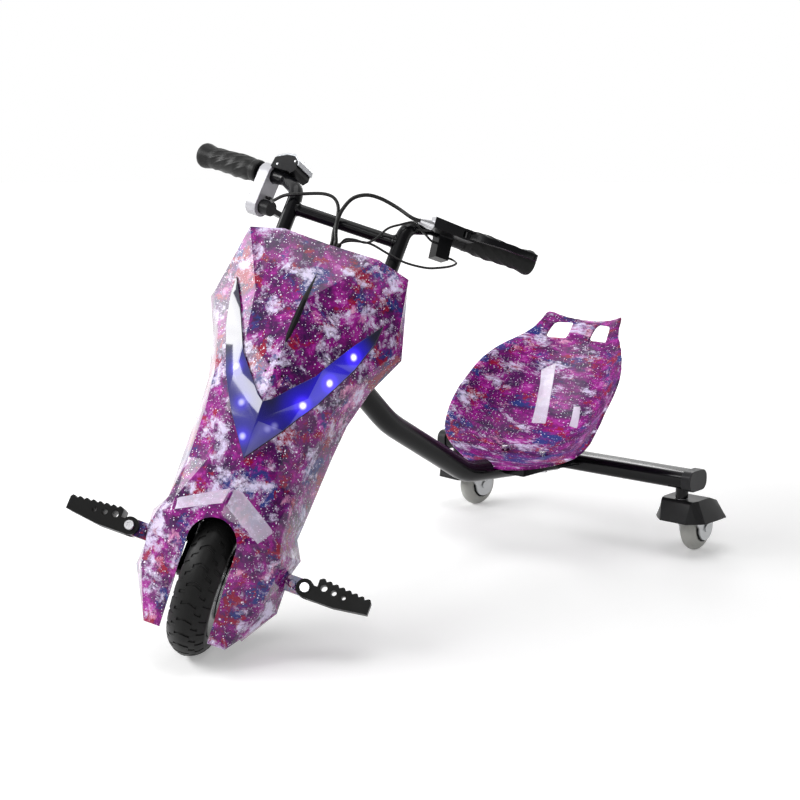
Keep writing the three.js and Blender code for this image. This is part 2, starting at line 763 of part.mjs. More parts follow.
function motorCase() {
  const outer = rimRadius - gap;
  const lip = rimRadius + rimLipHeight;
  const bead = beadHalfWidth + gap;
  const half = motorHalfWidth + gap;
  const bore = axleRadius + gap + gap / 4;
  const inside = outer - motorWall;
  const side = half - motorWall;
  const rim = [[bore, -half], [lip, -half], [lip, -bead], [outer, -bead], [outer, bead], [lip, bead],
    [lip, half], [bore, half]];
  const hollow = [[bore, side], [inside, side], [inside, -side], [bore, -side]];
  return turned([...rim, ...hollow, rim[0]], 'across', tyreSteps);
}

function motorAxle() {
  const stator = rimRadius - gap - motorWall - statorGap;
  const end = dropoutInner + dropoutThickness + axleEndLength;
  const shoulderIn = -motorHalfWidth - 2 * gap;
  const shoulderOut = -dropoutInner + gap;
  return turned([[0, -end], [axleRadius, -end], [axleRadius, shoulderOut], [axleShoulderRadius, shoulderOut],
    [axleShoulderRadius, shoulderIn], [axleRadius, shoulderIn], [axleRadius, -statorHalfWidth],
    [stator, -statorHalfWidth], [stator, statorHalfWidth], [axleRadius, statorHalfWidth], [axleRadius, end],
    [0, end]], 'across');
}

function brakePlate() {
  const inner = motorHalfWidth + 2 * gap;
  const face = inner + brakePlateThickness;
  const boss = dropoutInner - gap;
  const bore = axleRadius + gap;
  return turned([[bore, inner], [brakePlateRadius, inner], [brakePlateRadius, face], [brakeBossRadius, face],
    [brakeBossRadius, boss], [bore, boss], [bore, inner]], 'across');
}

function axleNut(side) {
  const inner = dropoutInner + dropoutThickness + gap;
  return hexNut(axleRadius + gap, nutRadius, inner, inner + nutThickness, 'across').scale(side, 1, 1);
}

// Handlebar
const barCorner = (side) => front(side * barCornerAcross, shellTop + barCornerRise, barCornerAhead);
const barEnd = (side) => front(side * barEndAcross, shellTop + barEndRise, barEndAhead);

function handlebarLine(side) {
  const foot = front(side * riserSpacing, lowerCrownTop + gap, riserLead);
  const top = front(side * riserSpacing, riserTop, riserLead);
  return bentLine([foot, top, barCorner(side), barEnd(side)], [barBend, barBend]);
}

const handlebarCore = (side, radius) => sweptTube(handlebarLine(side), radius, 0, tubeSides);

function handlebar() {
  const tube = (side) => sweptTube(handlebarLine(side), barRadius, barRadius - tubeWall, tubeSides);
  const brace = rod(braceRadius, -riserSpacing, riserSpacing, 'across', tubeSides);
  const bar = brace.translate(0, -riserLead, shellTop + braceRise);
  const midWall = barRadius - tubeWall / 2;
  return join(cut(bar, handlebarCore(1, midWall), handlebarCore(-1, midWall)), tube(1), tube(-1));
}

// A frame on each bar end: x along the bar towards the rider's left, y towards the rider, z up
function barFrame(side) {
  const along = barEnd(side).sub(barCorner(side)).normalize().multiplyScalar(side);
  const back = axisZ.clone().cross(along).normalize();
  const matrix = new THREE.Matrix4().makeBasis(along, back, along.clone().cross(back));
  return matrix.setPosition(barCorner(side));
}

function grip(side) {
  const shares = [[0.8, 0], [0.88, 0.15], [0.92, 0.35], [0.84, 0.6], [0.86, 0.82], [1, 0.94], [0.94, 1]];
  const outer = shares.map(([radius, along]) => [radius * gripRadius, gripStart + along * gripLength]);
  const bore = barRadius + gap;
  const end = gripStart + gripLength;
  const inside = end - gripCap + gap;
  const profile = [[bore, gripStart], ...outer, [0, end], [0, inside], [bore, inside], [bore, gripStart]];
  return turned(profile.map(([radius, along]) => [radius, side * along]), 'across');
}

// Thumb throttle on the rider's right, with its charge indicator over the bar
const clampEnd = gripStart - gap;
const throttleEnd = throttleStart + throttleThickness;
const throttlePinAlong = throttleStart - gap;

function throttleBody() {
  const shape = new THREE.Shape();
  shape.absarc(0, 0, clampRadius, 0, Math.PI, false);
  shape.absarc(0, -throttleDrop, throttleFootRadius, Math.PI, 2 * Math.PI, false);
  const body = prism(shape, acrossBike, -throttleEnd, -throttleStart);
  const bore = rod(barRadius + gap, -gripStart - overrun, 0, 'across');
  const pinHole = rod(leverPinRadius + gap, -throttleStart - leverPinLength - gap, 0, 'across');
  return cut(body, bore, pinHole.translate(0, 0, -throttleDrop));
}

function throttleLever() {
  const pinEnd = -throttlePinAlong - leverPinLength;
  const face = -throttlePinAlong;
  const inner = face + leverDrumLength;
  const half = paddleThickness / 2;
  const drum = turned([[0, pinEnd], [leverPinRadius, pinEnd], [leverPinRadius, face], [leverDrumRadius, face],
    [leverDrumRadius, inner], [0, inner]], 'across');
  const paddle = block([face, 0, -half], [inner, paddleLength, half]);
  const tip = rod(half, face, inner, 'across', tubeSides).translate(0, paddleLength, 0);
  return join(drum, paddle, tip);
}

const podShares = [[0, 0], [0, 0.62], [0.5, 0.94], [0.9, 1], [1.2, 0.72], [1.28, 0.2], [1.1, -0.1], [1, 0]];

function podOutline(outwards) {
  const height = podRise - podBase;
  const place = ([along, up]) => [along * podLength - throttlePinAlong, podBase + up * height];
  return grown(podShares.map(place), outwards);
}

const barAt = (side) => handlebarCore(side, barRadius + gap).applyMatrix4(barFrame(side).invert());

function indicatorPod() {
  return cut(prism(podOutline(0), towardsFront, -podHalfDepth, podHalfDepth), barAt(-1));
}

function podLens() {
  const outer = prism(podOutline(podLensThickness + gap), towardsFront, -podHalfDepth, podHalfDepth);
  const inner = prism(podOutline(gap), towardsFront, -podHalfDepth - overrun, podHalfDepth + overrun);
  const above = block([-throttlePinAlong + gap, -podHalfDepth - overrun, (podRise + podBase) / 2],
    [podLength, podHalfDepth + overrun, podRise + overrun]);
  return cut(overlap(outer, above), inner);
}

// Brake lever on the rider's left; its frame is tilted up about the bar
function brakePerch() {
  const clamp = rod(clampRadius, clampStart, clampEnd, 'across');
  const besideSwitch = -switchClampRadius - gap;
  const outline = [[perchStart, -perchArmDepth], [clampStart, -perchLugDepth], [clampEnd, -perchLugDepth],
    [clampEnd, -clampRadius / 2], [clampStart, -clampRadius / 2], [clampStart - 2 * gap, besideSwitch],
    [0, besideSwitch], [perchStart, perchArmThickness - perchArmDepth]];
  const arm = prism(outline, new THREE.Matrix4(), -perchHalfHeight, perchHalfHeight);
  const slot = block([clampStart, -perchArmDepth - overrun, -brakeBossHalf - gap],
    [clampEnd + overrun, brakeLeverBoss + 2 * gap - brakePivotAhead, brakeBossHalf + gap]);
  const pin = rod(brakePinRadius, -perchHalfHeight, perchHalfHeight, 'up', tubeSides);
  const bore = rod(barRadius + gap, -overrun, gripStart + overrun, 'across');
  const body = cut(join(clamp, arm), slot, bore, barAt(1).rotateX(perchTilt));
  return join(body, pin.translate(brakePivotAlong, -brakePivotAhead, 0), barrelAdjuster());
}

const leverBowShares = [[0, 0], [0.15, 0.55], [0.5, 1], [1, 0.85]];

function brakeLever() {
  const half = brakeLeverThickness / 2;
  const line = leverBowShares.map(([along, out]) => [along * brakeLeverReach, -out * brakeLeverOffset]);
  const back = line.map(([along, out]) => [along, out - half]);
  const face = line.map(([along, out]) => [along, out + half]).reverse();
  const blade = prism([...back, ...face], new THREE.Matrix4(), -brakeBossHalf, brakeBossHalf);
  const boss = rod(brakeLeverBoss, -brakeBossHalf, brakeBossHalf, 'up');
  const ball = rod(brakeBallRadius, -brakeBossHalf, brakeBossHalf, 'up', tubeSides);
  const hole = rod(brakePinRadius + gap, -perchHalfHeight, perchHalfHeight, 'up', tubeSides);
  return cut(join(boss, blade, ball.translate(...line.at(-1), 0)), hole);
}

function barrelAdjuster() {
  const tip = perchStart - adjusterLength;
  return turned([[0, tip], [adjusterTipRadius, tip], [adjusterRadius, perchStart - adjusterLength / 3],
    [adjusterRadius, perchStart + gap], [0, perchStart + gap]], 'across', tubeSides)
    .translate(0, -adjusterAhead, -adjusterDrop);
}

function switchBox() {
  const end = switchStart + switchLength - gap;
  const clamp = rod(switchClampRadius, switchStart, end, 'across');
  const box = block([switchStart, -switchHalfDepth, -switchDrop], [end, switchHalfDepth, 0]);
  const bore = rod(barRadius + gap, 0, end + overrun, 'across');
  const pocket = rod(buttonRadius + gap, -switchHalfDepth - overrun, -switchHalfDepth + buttonDepth, 'ahead');
  const button = [(switchStart + end) / 2, 0, -switchDrop * buttonDropShare];
  return cut(join(clamp, box), bore, pocket.translate(...button), barAt(1));
}

function hornButton() {
  const travel = buttonProud;
  return rod(buttonRadius, -switchHalfDepth - buttonProud, -switchHalfDepth + buttonDepth - travel, 'ahead');
}

// Cables: from a fitting's mouth, along the route, into the grommet
function cable(mouth, leaving, route, entry, radius, steps) {
  const top = shellTop + gap + grommetHeight + gap;
  const start = mouth.clone().addScaledVector(leaving, 4 * radius);
  const end = front(entry[0], top, entry[1]);
  const between = route.map(([across, up, ahead]) => front(across, shellTop + up, ahead));
  const points = [mouth, start, ...between, end.clone().setZ(top + 3 * radius), end];
  return sweptTube(new THREE.CatmullRomCurve3(points, false, 'centripetal'), radius, 0, wireSides, steps);
}

const tiltedBrakeFrame = () => barFrame(1).multiply(new THREE.Matrix4().makeRotationX(-perchTilt));

function brakeCable() {
  const frame = tiltedBrakeFrame();
  const tip = new THREE.Vector3(perchStart - gap - adjusterLength, -adjusterAhead, -adjusterDrop);
  const leaving = axisX.clone().negate().transformDirection(frame);
  return cable(tip.applyMatrix4(frame), leaving, brakeCableRoute, brakeCableMouth, brakeCableRadius, 26);
}

function throttleWire() {
  const frame = barFrame(-1).multiply(new THREE.Matrix4().makeRotationX(throttleTilt));
  const up = leverDrumRadius + throttleWireRadius + 2 * gap - throttleDrop;
  const mouth = new THREE.Vector3(gap - throttleStart, 0, up).applyMatrix4(frame);
  const leaving = axisX.clone().transformDirection(frame);
  return cable(mouth, leaving, throttleWireRoute, throttleWireMouth, throttleWireRadius, 26);
}

function switchWires() {
  const frame = barFrame(1);
  const inner = switchStart - gap;
  const ahead = -switchHalfDepth / 2;
  const outer = switchStart + switchLength;
  const upper = new THREE.Vector3(inner, ahead, -switchDrop / 2).applyMatrix4(frame);
  const lower = new THREE.Vector3(outer, ahead, 3 * switchWireRadius - switchDrop).applyMatrix4(frame);
  const inwards = axisX.clone().negate().transformDirection(frame);
  const outwards = axisX.clone().transformDirection(frame);
  const top = shellTop + 2 * gap + grommetHeight;
  const sleeve = rod(wireSleeveRadius, top, top + wireSleeveLength, 'up');
  return join(sleeve.translate(wireSleeveAcross, -wireSleeveAhead, 0),
    cable(upper, inwards, upperWireRoute, upperWireMouth, switchWireRadius, 26),
    cable(lower, outwards, lowerWireRoute, lowerWireMouth, switchWireRadius, 32));
}

function grommet() {
  const [foot, seat] = [shellTop - shellWall, shellTop + gap];
  const top = seat + grommetHeight;
  return turned([[0, foot], [grommetNeckRadius, foot], [grommetNeckRadius, seat], [grommetRadius, seat],
    [grommetRadius, top], [0, top]], 'up').translate(0, -grommetAhead, 0);
}

// Foot pegs, about their hinges: each peg's two cheeks straddle the bracket's tongue
function pegBracket(side) {
  const shape = new THREE.Shape();
  shape.moveTo(bracketRoot - pegHinge, bracketEndRadius);
  shape.lineTo(bracketRoot - pegHinge, -bracketEndRadius);
  shape.absarc(0, 0, bracketEndRadius, -Math.PI / 2, Math.PI / 2, false);
  const bar = prism(shape, towardsFront, pegLead - bracketHalfDepth, pegLead + bracketHalfDepth);
  const face = pegLead + bracketHalfDepth;
  const hinge = rod(hingeBoltRadius + gap, 0, 2 * pegLead, 'ahead', tubeSides);
  const leg = rod(legRadius + gap, -legBottom, legBottom, 'up', tubeSides);
  const screwHead = rod(sideBoltHead, face - gap, face + boltHeadThickness, 'ahead', tubeSides);
  const clear = cut(bar, hinge, leg.translate(legSpacing - pegHinge, -axleLead, 0));
  const shaped = join(clear, screwHead.translate(-sideBoltInset, 0, 0));
  return shaped.translate(pegHinge, 0, pegHeight).scale(side, 1, 1);
}

const pegUnderShares = [[0, -0.6], [0.12, -0.6], [0.48, -0.6], [1, -0.3], [1, 0.5]];
const pegHolePlaceShares = [[0.27, 0.38, 1], [0.43, 0.3, 5 / 6], [0.59, 0.22, 2 / 3]];

function footPeg(side) {
  const start = pegBossRadius + pegToothHeight;
  const toothLength = (pegReach - start) / pegTeeth;
  const outline = pegUnderShares.map(([along, up]) => [along * pegReach, up * pegRise]);
  for (let i = 0; i < pegTeeth; i++) {
    const at = pegReach - i * toothLength;
    const crest = pegRise * (2 + i / pegTeeth) / 3;
    outline.push([at - toothLength / 4, crest], [at - toothLength / 2, crest]);
    outline.push([at - toothLength, crest - pegToothHeight]);
  }
  outline.push([start, pegRise / 3], [0, pegRise / 3]);
  const body = prism(outline, towardsFront, -pegHalfDepth, pegHalfDepth);
  const boss = rod(pegBossRadius, -pegHalfDepth, pegHalfDepth, 'ahead');
  const slotDepth = bracketHalfDepth + gap;
  const swing = rod(bracketEndRadius + gap, -slotDepth, slotDepth, 'ahead');
  const slot = block([-pegReach, -slotDepth, -pegReach], [bracketEndRadius / 2, slotDepth, pegReach]);
  const foldRoom = block([-pegReach, -slotDepth, 0], [bracketEndRadius + gap, slotDepth, pegReach]);
  const through = pegHalfDepth + overrun;
  const holes = pegHolePlaceShares.map(([along, up, size]) =>
    rod(pegHoleRadius * size, -through, through, 'ahead', 2 * wireSides)
      .translate(along * pegReach, 0, up * pegRise));
  const pin = rod(hingeBoltRadius + gap, -2 * pegHalfDepth, 2 * pegHalfDepth, 'ahead', tubeSides);
  return cut(join(body, boss), swing, slot, foldRoom, pin, ...holes).scale(side, 1, 1);
}

function pegBolt(side) {
  const face = pegLead + pegHalfDepth + gap;
  const head = face + boltHeadThickness;
  const tail = pegLead - pegHalfDepth - gap;
  const nutEnd = tail - boltHeadThickness;
  const bolt = turned([[0, nutEnd], [hingeBoltHead, nutEnd], [hingeBoltHead, tail], [hingeBoltRadius, tail],
    [hingeBoltRadius, face], [hingeBoltHead, face], [hingeBoltHead, head], [0, head]], 'ahead', tubeSides);
  return bolt.translate(side * pegHinge, 0, pegHeight);
}

// Rear frame
const rakedUp = (up) => new THREE.Vector3(0, up * Math.sin(rake), up * Math.cos(rake));

function mainTubeLine() {
  const start = rakedUp(headTubeMiddle);
  const first = start.clone().add(new THREE.Vector3(0, firstBendBehind, -firstBendBelow));
  const second = new THREE.Vector3(0, secondBendBack, secondBendHeight);
  const end = new THREE.Vector3(0, crossbarFront - gap, crossbarHeight);
  return bentLine([start, first, second, end], [firstBend, secondBend]);
}

function mainTube() {
  const tube = sweptTube(mainTubeLine(), mainTubeRadius, mainTubeRadius - tubeWall, roundSides);
  const cope = rod(headTubeRadius + gap, headTubeBottom - overrun, headTubeTop + overrun, 'up');
  return cut(tube, cope.rotateX(-rake), seatRoom());
}

const mainTubeTool = () => sweptTube(mainTubeLine(), mainTubeRadius + gap, 0, roundSides);

// A rounded rectangle drawn about its middle, as depth and height
function roundedSection(depth, height, corner) {
  const [x, y] = [depth / 2, height / 2];
  const shape = new THREE.Shape();
  shape.moveTo(x - corner, -y);
  shape.absarc(x - corner, -y + corner, corner, -Math.PI / 2, 0, false);
  shape.absarc(x - corner, y - corner, corner, 0, Math.PI / 2, false);
  shape.absarc(-x + corner, y - corner, corner, Math.PI / 2, Math.PI, false);
  shape.absarc(-x + corner, -y + corner, corner, Math.PI, 1.5 * Math.PI, false);
  return shape;
}

function sectionPrism(inset, from, to) {
  const [depth, height] = [crossbarDepth - 2 * inset, crossbarThickness - 2 * inset];
  const shape = roundedSection(depth, height, crossbarCorner - inset);
  const settings = { depth: to - from, bevelEnabled: false, curveSegments: 3 };
  return new THREE.ExtrudeGeometry(shape, settings).translate(0, 0, from).applyMatrix4(acrossBike);
}

// The crossbar with its two gusset plates, which run forwards on either side of the main tube
function crossbar() {
  const bore = sectionPrism(tubeWall, -crossbarHalfLength - overrun, crossbarHalfLength + overrun);
  const outline = mirrored([[gussetNarrow, gussetFront], [gussetHalfWidth, crossbarBack]]);
  const low = crossbarHeight - gussetThickness / 2;
  const plates = prism(outline, new THREE.Matrix4(), low, low + gussetThickness);
  const toTube = new THREE.Matrix4().makeTranslation(0, -crossbarBack, -crossbarHeight);
  const gussets = cut(plates, mainTubeTool()).applyMatrix4(toTube);
  return cut(join(sectionPrism(0, -crossbarHalfLength, crossbarHalfLength), gussets), bore);
}

function endCap(side) {
  const inner = crossbarHalfLength - endCapSleeve;
  const cap = sectionPrism(-endCapWall, inner, crossbarHalfLength + endCapThickness);
  const socket = sectionPrism(-gap, inner - overrun, crossbarHalfLength + gap);
  return cut(cap, socket).scale(side, 1, 1);
}

// Seat: stations from the front lip to the top edge, each with its middle and its side edge
const seatMiddleShares = [[0, 0, 0], [0, 0.085, 0], [0, 0.28, 0.01], [0, 0.47, 0.045], [0, 0.61, 0.155],
  [0, 0.695, 0.325], [0, 0.765, 0.52], [0, 0.835, 0.715], [0, 0.905, 0.875], [0, 1, 0.955]];
const seatEdgeShares = [[0.28, 0.03, -0.01], [0.72, 0.15, 0.065], [0.95, 0.225, 0.175], [0.975, 0.35, 0.41],
  [0.955, 0.47, 0.545], [0.92, 0.56, 0.65], [0.8, 0.67, 0.757], [0.66, 0.775, 0.825], [0.535, 0.85, 0.905],
  [0.485, 0.94, 1.02]];
const seatRows = 14;
const seatColumns = 5;
const seatEdgePower = 2.6;
const seatLine = (shares) => new THREE.CatmullRomCurve3(shares.map((place) => new THREE.Vector3(...place)));
const seatMiddleLine = seatLine(seatMiddleShares);
const seatEdgeLine = seatLine(seatEdgeShares);

function seatPoint(along, across) {
  const middle = seatMiddleLine.getPoint(along);
  const edge = seatEdgeLine.getPoint(along);
  const pull = Math.abs(across) ** seatEdgePower;
  const back = seatFront + (middle.y + (edge.y - middle.y) * pull) * seatLength;
  const up = seatBase + (middle.z + (edge.z - middle.z) * pull) * seatHeight;
  return new THREE.Vector3(across * edge.x * seatHalfWidth, back, up);
}

// The seat's outward direction at a point, from its neighbours a small step away on each side
const seatStep = 1 / 100;

function seatNormal(along, across) {
  const upper = seatPoint(Math.min(along + seatStep, 1), across);
  const lower = seatPoint(Math.max(along - seatStep, 0), across);
  const left = seatPoint(along, Math.min(across + seatStep, 1));
  const right = seatPoint(along, Math.max(across - seatStep, -1));
  return left.sub(right).cross(upper.sub(lower)).normalize();
}

// The seat's sheet between two distances from its upper face
function seatSheet(above, below) {
  const rows = [];
  for (let r = 0; r <= seatRows; r++) {
    for (let c = -seatColumns; c <= seatColumns; c++) {
      const [along, across] = [r / seatRows, c / seatColumns];
      rows.push({ place: seatPoint(along, across), up: seatNormal(along, across) });
    }
  }
  const width = 2 * seatColumns + 1;
  const count = rows.length;
  const sheet = (step) => rows.map(({ place, up }) => place.clone().addScaledVector(up, step));
  const points = [...sheet(above), ...sheet(-below)];
  const faces = [];
  const quad = (a, b, c, d) => faces.push(a, b, c, a, c, d);
  for (let r = 0; r < seatRows; r++) {
    for (let c = 0; c < width - 1; c++) {
      const a = r * width + c;
      quad(a, a + 1, a + 1 + width, a + width);
      quad(count + a, count + a + width, count + a + 1 + width, count + a + 1);
    }
    const left = r * width;
    const right = left + width - 1;
    quad(left, left + width, count + left + width, count + left);
    quad(right, count + right, count + right + width, right + width);
  }
  const last = seatRows * width;
  for (let c = 0; c < width - 1; c++) {
    quad(c, count + c, count + c + 1, c + 1);
    quad(last + c, last + c + 1, count + last + c + 1, count + last + c);
  }
  const geometry = new THREE.BufferGeometry();
  geometry.setAttribute('position', new THREE.Float32BufferAttribute(points.flatMap((p) => p.toArray()), 3));
  geometry.setIndex(faces);
  return geometry;
}

// The room above the seat's underside, open a little further forwards than the seat itself
function seatRoom() {
  const room = seatSheet(seatHeight / 4, seatWall + 2 * gap);
  return join(room, room.clone().translate(0, -overrun, 0));
}

const seatBoltHole = (side) =>
  rod(seatBoltRadius + gap, 0, seatBase + seatHeight / 4, 'up', tubeSides)
    .translate(side * seatBoltAcross, seatBoltBack, 0);

// An outline whose corners are rounded off, each over a given length of its two sides
function softened(corners, reach) {
  const places = corners.map((place) => new THREE.Vector2(...place));
  return places.flatMap((corner, i) => {
    const before = places[(i + places.length - 1) % places.length];
    const after = places[(i + 1) % places.length];
    const from = before.clone().sub(corner).setLength(reach).add(corner);
    const to = after.clone().sub(corner).setLength(reach).add(corner);
    return new THREE.QuadraticBezierCurve(from, corner, to).getPoints(3).map((place) => place.toArray());
  });
}

const seatHoleShares = [[-1.05, -1], [1.1, -1], [0.85, 1], [-0.95, 1]];
const seatHoleRounding = 5;

function seatHandHole(side) {
  const corners = seatHoleShares.map(([out, up]) => [out * seatHoleHalfWidth, up * seatHoleHalfHeight]);
  const reach = seatHeight / 4;
  const hole = prism(softened(corners, seatHoleRounding), towardsFront, -reach, reach);
  return hole.translate(seatHoleAcross, seatHoleBack, seatHoleHeight).scale(side, 1, 1);
}

const seatShell = () =>
  cut(seatSheet(0, seatWall), seatHandHole(1), seatHandHole(-1), seatBoltHole(1), seatBoltHole(-1));

function seatBracket() {
  const saddle = block([-saddleHalfWidth, saddleFront, saddleBottom],
    [saddleHalfWidth, saddleFront + saddleLength, seatBase + seatHeight / 6]);
  return cut(saddle, seatRoom(), mainTubeTool(), seatBoltHole(1), seatBoltHole(-1));
}

function seatBolt(side) {
  let row = 0;
  while (seatPoint(row, 0).y < seatBoltBack) row += seatStep / 2;
  const pan = seatPoint(row, seatBoltAcross / seatPoint(row, 1).x).z;
  const head = pan + washerThickness;
  const top = head + 2 * washerThickness;
  const foot = saddleBottom - gap;
  const nut = foot - 2 * washerThickness;
  const bolt = turned([[0, nut], [seatBoltHead, nut], [seatBoltHead, foot], [seatBoltRadius, foot],
    [seatBoltRadius, head], [seatBoltHead, head], [seatBoltHead, top], [0, top]], 'up', tubeSides);
  return bolt.translate(side * seatBoltAcross, seatBoltBack, 0);
}

// Casters, about their swivel axes
function casterStem() {
  const top = crossbarBottom - gap;
  const plateBottom = forkPlateTop - forkPlateThickness;
  const headTop = plateBottom - gap;
  const headBottom = headTop - kingpinHeadThickness;
  return turned([[0, headBottom], [kingpinHeadRadius, headBottom], [kingpinHeadRadius, headTop],
    [kingpinRadius, headTop], [kingpinRadius, stemBottom], [stemRadius, stemBottom], [stemRadius, top],
    [0, top]], 'up');
}

function casterFork() {
  const plateBottom = forkPlateTop - forkPlateThickness;
  const outer = forkInnerHalfWidth + forkLegThickness;
  const [plateFront, plateBack] = [-forkPlateHalfLength, 2 * forkPlateHalfLength];
  const plate = block([-outer, plateFront, plateBottom], [outer, plateBack, forkPlateTop]);
  const boss = rod(forkBossRadius, plateBottom, stemBottom - gap, 'up');
  const shape = new THREE.Shape();
  shape.moveTo(plateBack, forkPlateTop);
  shape.lineTo(plateFront, forkPlateTop);
  shape.lineTo(plateFront, plateBottom);
  shape.lineTo(casterTrail - forkEndRadius, casterRadius);
  shape.absarc(casterTrail, casterRadius, forkEndRadius, Math.PI, 2 * Math.PI, false);
  shape.lineTo(casterTrail + forkEndRadius, plateBottom - forkEndRadius / 2);
  const leg = prism(shape, acrossBike, forkInnerHalfWidth, outer);
  const headOut = outer + casterHeadThickness;
  const axle = turned([[0, -headOut], [casterAxleHead, -headOut], [casterAxleHead, -outer],
    [casterAxleRadius, -outer], [casterAxleRadius, outer], [casterAxleHead, outer], [casterAxleHead, headOut],
    [0, headOut]], 'across', tubeSides);
  const kingpin = rod(kingpinRadius + gap + gap / 4, 0, stemBottom + overrun, 'up');
  const body = join(plate, boss, leg, leg.clone().translate(-outer - forkInnerHalfWidth, 0, 0));
  return join(cut(body, kingpin), axle.translate(0, casterTrail, casterRadius));
}

// Sections from the fender's front to its back: place, half width at the foot and at the top, height
const fenderSectionShares = [[0, 0.5, 0.48, 0.14], [0.06, 0.66, 0.56, 0.9], [0.11, 0.78, 0.6, 1],
  [0.2, 0.96, 0.66, 1], [0.5, 1, 0.66, 1], [0.73, 1, 0.6, 0.74], [0.88, 0.66, 0.5, 0.4],
  [1, 0.38, 0.34, 0.04]];

function fenderForm(inset, drop) {
  const [half, length, height] = [fenderHalfWidth - inset, fenderLength - 2 * inset, fenderHeight - inset];
  const foot = fenderTop - fenderHeight;
  const sections = fenderSectionShares.map(([along, footShare, topShare, up]) => {
    const y = inset - fenderLead + along * length;
    const [low, high] = [foot - drop, foot + up * height];
    const [wide, narrow] = [half * footShare, half * topShare];
    return [[wide, y, low], [narrow, y, high], [-narrow, y, high], [-wide, y, low]];
  });
  const faces = [0, 1, 2, 0, 2, 3];
  for (let i = 0; i < sections.length - 1; i++) {
    for (let k = 0; k < 4; k++) {
      const [a, b] = [4 * i + k, 4 * i + (k + 1) % 4];
      faces.push(a, a + 4, b, b, a + 4, b + 4);
    }
  }
  const last = 4 * (sections.length - 1);
  faces.push(last, last + 2, last + 1, last, last + 3, last + 2);
  const geometry = new THREE.BufferGeometry();
  geometry.setAttribute('position', new THREE.Float32BufferAttribute(sections.flat(2), 3));
  geometry.setIndex(faces);
  return geometry;
}

function fender() {
  const stemHole = rod(forkBossRadius + gap, 0, crossbarHeight, 'up');
  return cut(fenderForm(0, 0), fenderForm(fenderWall, overrun), stemHole);
}

function casterTread() {
  const shares = [[0, 1], [0.2, 1], [0.62, 0.78], [0.92, 0.4], [1, 0]];
  const bore = casterHubRadius;
  const right = shares.map(([out, across]) => [bore + out * (casterRadius - bore), across * casterHalfWidth]);
  const left = right.slice(0, -1).reverse().map(([radius, across]) => [radius, -across]);
  return turned([...right, ...left, right[0]], 'across', roundSides);
}

function casterHub() {
  const bore = casterAxleRadius + gap + gap / 4;
  const core = casterHubRadius - gap;
  const inner = casterHalfWidth + gap;
  const outer = inner + casterFlangeThickness;
  return turned([[bore, -outer], [casterFlangeRadius, -outer], [casterFlangeRadius, -inner], [core, -inner],
    [core, inner], [casterFlangeRadius, inner], [casterFlangeRadius, outer], [bore, outer], [bore, -outer]],
  'across');
}

// Assembly
const frontEnd = new THREE.Group();
frontEnd.rotation.x = -rake;

const headTube = collar(steererRadius + steererClearance, headTubeRadius, headTubeBottom, headTubeTop, 'up');
frontEnd.add(
  part('head_tube', headTube, blackPaint),
  part('lower_bearing', bearing(headTubeBottom - gap - bearingHeight), steel),
  part('upper_bearing', bearing(headTubeTop + gap), steel),
);

const steered = new THREE.Group();
steered.rotation.z = restTurn;
frontEnd.add(steered);

steered.add(
  part('steerer_tube', steerer(), blackPaint),
  part('steerer_nut', steererNut(), steel),
  part('fork', fork(), blackPaint),
  part('front_shell', frontShell(), printedPlastic),
  part('rear_cover', rearCover(), blackPlastic),
  part('light_lens', lightLens(), blueLens),
  part('light_board', lightBoard(), greenBoard),
  part('slit_insert', skinPatch(slitOutline, slitProud, -shellWall), blackPlastic),
  part('speaker', speaker(), blackPlastic),
  part('battery_pack', battery(), blueWrap),
  part('motor_controller', controller(), steel),
  part('charge_port', chargePort(), blackPlastic),
  part('handlebar', handlebar(), blackPaint),
  part('brake_cable', brakeCable(), rubber),
  part('throttle_wire', throttleWire(), rubber),
  part('switch_wires', switchWires(), rubber),
  part('cable_grommet', grommet(), rubber),
  part('peg_bracket_left', pegBracket(1), printedPlastic),
  part('peg_bracket_right', pegBracket(-1), printedPlastic),
  part('peg_bolt_left', pegBolt(1), steel),
  part('peg_bolt_right', pegBolt(-1), steel),
);

for (const [name, side] of [['left', 1], ['right', -1]]) {
  const peg = part(`peg_${name}`, footPeg(side), blackPlastic);
  peg.position.copy(front(side * pegHinge, pegHeight, pegLead));
  steered.add(peg);
}

const wheel = new THREE.Group();
wheel.position.copy(front(0, axleHeight, axleLead));
wheel.add(
  part('tyre', tyre(), rubber),
  part('motor_case', motorCase(), blackPaint),
  part('motor_axle', motorAxle(), steel),
  part('brake_plate', brakePlate(), steel),
  part('axle_nut_left', axleNut(1), steel),
  part('axle_nut_right', axleNut(-1), steel),
);
steered.add(wheel);

const leftBar = new THREE.Group();
leftBar.applyMatrix4(barFrame(1));
const brakeGroup = new THREE.Group();
brakeGroup.rotation.x = -perchTilt;
const brakeBlade = part('brake_lever', brakeLever(), blackPaint);
brakeBlade.position.set(brakePivotAlong, -brakePivotAhead, 0);
brakeGroup.add(part('brake_perch', brakePerch(), blackPlastic), brakeBlade);
const button = part('horn_button', hornButton(), lightGreyPlastic);
button.position.set(switchStart + (switchLength - gap) / 2, 0, -switchDrop * buttonDropShare);
leftBar.add(
  part('grip_left', grip(1), rubber),
  part('switch_box', switchBox(), blackPlastic),
  brakeGroup,
  button,
);

const rightBar = new THREE.Group();
rightBar.applyMatrix4(barFrame(-1));
const throttleGroup = new THREE.Group();
throttleGroup.rotation.x = throttleTilt;
const thumbLever = part('throttle_lever', throttleLever(), blackPlastic);
thumbLever.position.set(0, 0, -throttleDrop);
throttleGroup.add(part('throttle_body', throttleBody(), lightGreyPlastic), thumbLever);
rightBar.add(
  part('grip_right', grip(-1), rubber),
  throttleGroup,
  part('indicator_pod', indicatorPod(), blackPlastic),
  part('indicator_lens', podLens(), clearPlastic),
);
steered.add(leftBar, rightBar);

